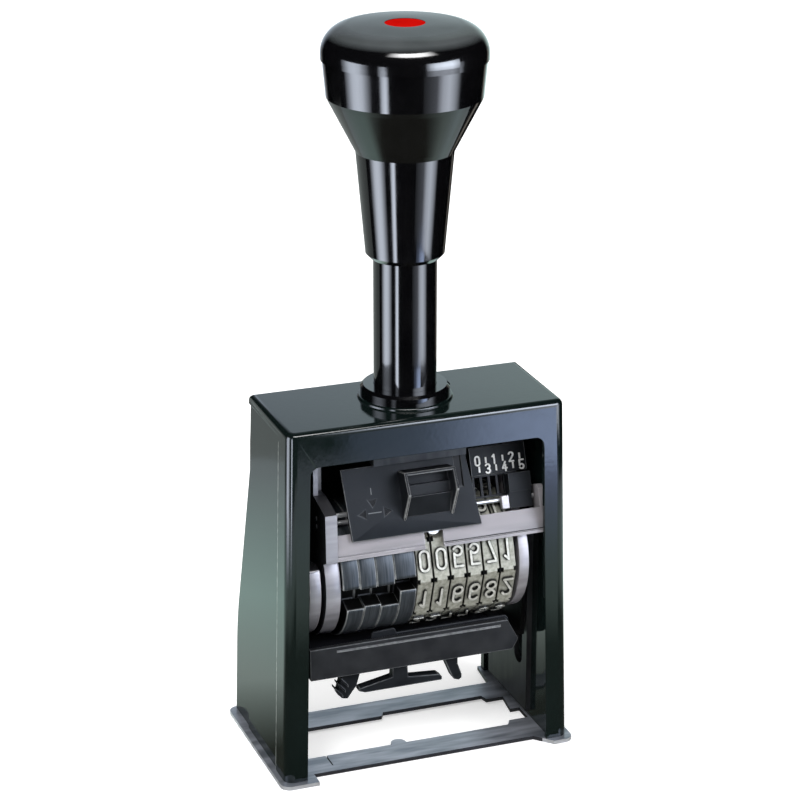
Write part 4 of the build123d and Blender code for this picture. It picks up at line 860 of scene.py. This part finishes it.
def around(turn, radius):
    """X and Y at a turn in degrees to the right of the camera's side of the handle."""
    angle = camera_turn + radians(turn)
    return radius * sin(angle), handle_y - radius * cos(angle)


def show_in_gloss(made, emit):
    """Stage card that only glossy surfaces see; emit(shader) returns its colour and strength."""
    look = Shader(made.name)
    look.tree.nodes.remove(look.shader)
    glow = look.node("ShaderNodeEmission")
    for key, value in zip(("Color", "Strength"), emit(look)):
        look.feed(value, glow.inputs[key])
    look.join(glow.outputs[0], look.tree.nodes["Material Output"].inputs["Surface"])
    made.data.materials.append(look.material)
    made.visible_camera = False
    made.visible_diffuse = False
    made.visible_shadow = False
    made.visible_transmission = False


def even_stops(colours):
    """Ramp stops at equal steps from 0 to 1."""
    return [(k / (len(colours) - 1), colour) for k, colour in enumerate(colours)]


def card(name, turns, heights, strengths, tint=white, radius=card_radius, tint_end=None, fade=None):
    """Upright curved card; its strength runs from the first turn to the last through strengths,
    and its tint goes over to tint_end. fade lists shares of the strength from foot to top."""
    first, last = turns
    foot, top = (height * mm for height in heights)
    steps = max(2, int((last - first) / card_step))
    points = []
    for step in range(steps + 1):
        x, y = around(first + (last - first) * step / steps, radius)
        points += [(x, y, foot), (x, y, top)]
    faces = [(a, a + 2, a + 3, a + 1) for a in range(0, 2 * steps, 2)]

    def emit(look):
        x, y = look.axis("X"), look.past("Y", handle_y)
        ahead = camera_turn + radians(first + last) / 2
        ahead_x, ahead_y = sin(ahead), -cos(ahead)
        along = look.math(
            "ADD", look.math("MULTIPLY", x, ahead_x), look.math("MULTIPLY", y, ahead_y)
        )
        across = look.math(
            "SUBTRACT", look.math("MULTIPLY", y, ahead_x), look.math("MULTIPLY", x, ahead_y)
        )
        half = radians(last - first) / 2
        share = look.span(look.math("ARCTAN2", across, along), -half, half)
        peak = max(max(strengths), 1e-6)
        colours = []
        for k, strength in enumerate(strengths):
            part = k / (len(strengths) - 1)
            mixed = [a + (b - a) * part for a, b in zip(tint, tint_end or tint)]
            colours.append(tuple(c * strength / peak for c in mixed))
        colour = look.ramp(share, even_stops(colours))
        if fade:
            level = look.span(look.axis("Z"), foot, top)
            shares = even_stops([(part, part, part) for part in fade])
            colour = look.product(colour, look.ramp(level, shares))
        return colour, peak

    show_in_gloss(new_object(name, points, faces), emit)


floor_card_half = 0.24
floor_reach = 0.25  # distance from the middle at which the floor's ramps end
rear_floor = (
    (0.0, (0.10, 0.11, 0.10)),
    (0.26, (0.34, 0.41, 0.38)),
    (0.46, (0.40, 0.55, 0.51)),
    (0.62, (0.34, 0.45, 0.43)),
    (0.85, (0.26, 0.30, 0.31)),
)
front_floor = (
    (0.0, (0.02, 0.022, 0.018)),
    (0.38, (0.04, 0.040, 0.030)),
    (0.50, (0.32, 0.40, 0.37)),
    (0.70, (0.40, 0.50, 0.52)),
    (0.95, (0.30, 0.31, 0.34)),
)
front_end_y = 0.0
rear_start_y = 0.04
window_glow = (1.1, 1.3, 2.2)
window_place = around(49, card_radius + 15 * mm)
window_reach = 0.11
# Streaks that the casing's front left corner mirrors: where the turn about it rises and falls.
corner_x, corner_y = -37 * mm, -20 * mm
streak_colour = (3.2, 3.5, 4.0)
streak_reach = (0.10, 0.19)  # distances from the corner that the streaks fade in over
wide_streak = (-2.02, -1.7, -1.4, -1.15)
thin_streak = (-0.95, -0.86, -0.74, -0.64)
floor_strength = 2.0


def floor_card():
    """What gloss sees of the floor: dim beside the machine, paler further out, with a window's glow
    at the right and two streaks at the left."""

    def emit(look):
        x, y = look.axis("X"), look.axis("Y")
        distance = look.math("DIVIDE", look.length(x, y), floor_reach)
        rear, front = look.ramp(distance, rear_floor), look.ramp(distance, front_floor)
        base = look.mix(look.span(y, front_end_y, rear_start_y), front, rear)
        window_x, window_y = window_place
        from_window = look.length(look.past("X", window_x), look.past("Y", window_y))
        glow = look.span(from_window, window_reach, 0.0)
        lit = look.mix(look.all_of(glow, glow), base, window_glow)
        from_x = look.past("X", corner_x)
        ahead = look.math("SUBTRACT", corner_y, y)
        turn = look.math("ARCTAN2", from_x, ahead)
        far = look.span(look.length(from_x, ahead), *streak_reach)
        streaks = look.math("MAXIMUM", look.hump(turn, *wide_streak), look.hump(turn, *thin_streak))
        return look.mix(look.all_of(streaks, far), lit, streak_colour), floor_strength

    show_in_gloss(new_level("card_floor", floor_card_half, floor_z / 2), emit)


floor_card()
card("card_dark", (-180, 180), (0, 700), (0.0, 0.0), radius=card_radius + 4 * mm)
card("card_left", (-92, -47), (0, 190), (0.0, 3.5, 8.0, 9.5, 8.5, 4.0, 0.0), cool)
card(
    "card_left_thin", (-36, -22), (0, 190), (0.0, 10.0, 14.0, 2.0), cool,
    fade=(1.0, 1.0, 0.55, 0.45),
)
card(
    "card_right", (26, 84), (23, 190), (0.2, 0.7, 1.2, 6.5, 8.0, 4.5, 0.0), cool,
    fade=(1.0, 1.0, 1.0, 0.7),
)
card("card_lintel", (33, 58), (0, 22), (0.7, 1.0, 4.0, 5.2, 4.2), (0.80, 1.0, 1.5))
card(
    "card_right_high", (28, 76), (118, 232), (3.0, 15.0, 18.0, 18.0, 6.0), cool,
    card_radius - 2 * mm, fade=(0.1, 0.7, 1.0, 1.0, 0.7),
)
card(
    "card_back", (142, 218), (100, 685), (0.0, 1.0, 1.1, 1.0, 0.85, 0.6, 0.0), (0.75, 1.0, 0.9),
    tint_end=(0.9, 1.0, 1.25), fade=(1.0, 0.95, 0.26, 0.28, 0.3, 0.3, 0.2, 0.1, 0.0),
)
card(
    "card_low", (-178, -104), (0, 90), (0.36, 0.40, 0.36), (0.9, 1.0, 0.98),
    card_radius - 3 * mm,
)
card(
    "card_crescent", (-30, 55), (372, 525), (0.0, 14.0, 24.0, 24.0, 24.0, 14.0, 0.0),
    fade=(0.6, 1.0, 1.0, 1.0, 0.6),
)
card("card_rim_left", (-156, -146), (90, 160), (0.0, 0.5, 0.0), warm)
card("card_rim_right", (142, 152), (20, 160), (0.0, 0.5, 0.0), warm)
# The lid hides the bright surroundings above the cards.
show_in_gloss(new_level("card_lid", lid_half, lid_z), lambda look: (white, 0.0))

bpy.context.scene.view_settings.view_transform = "Standard"
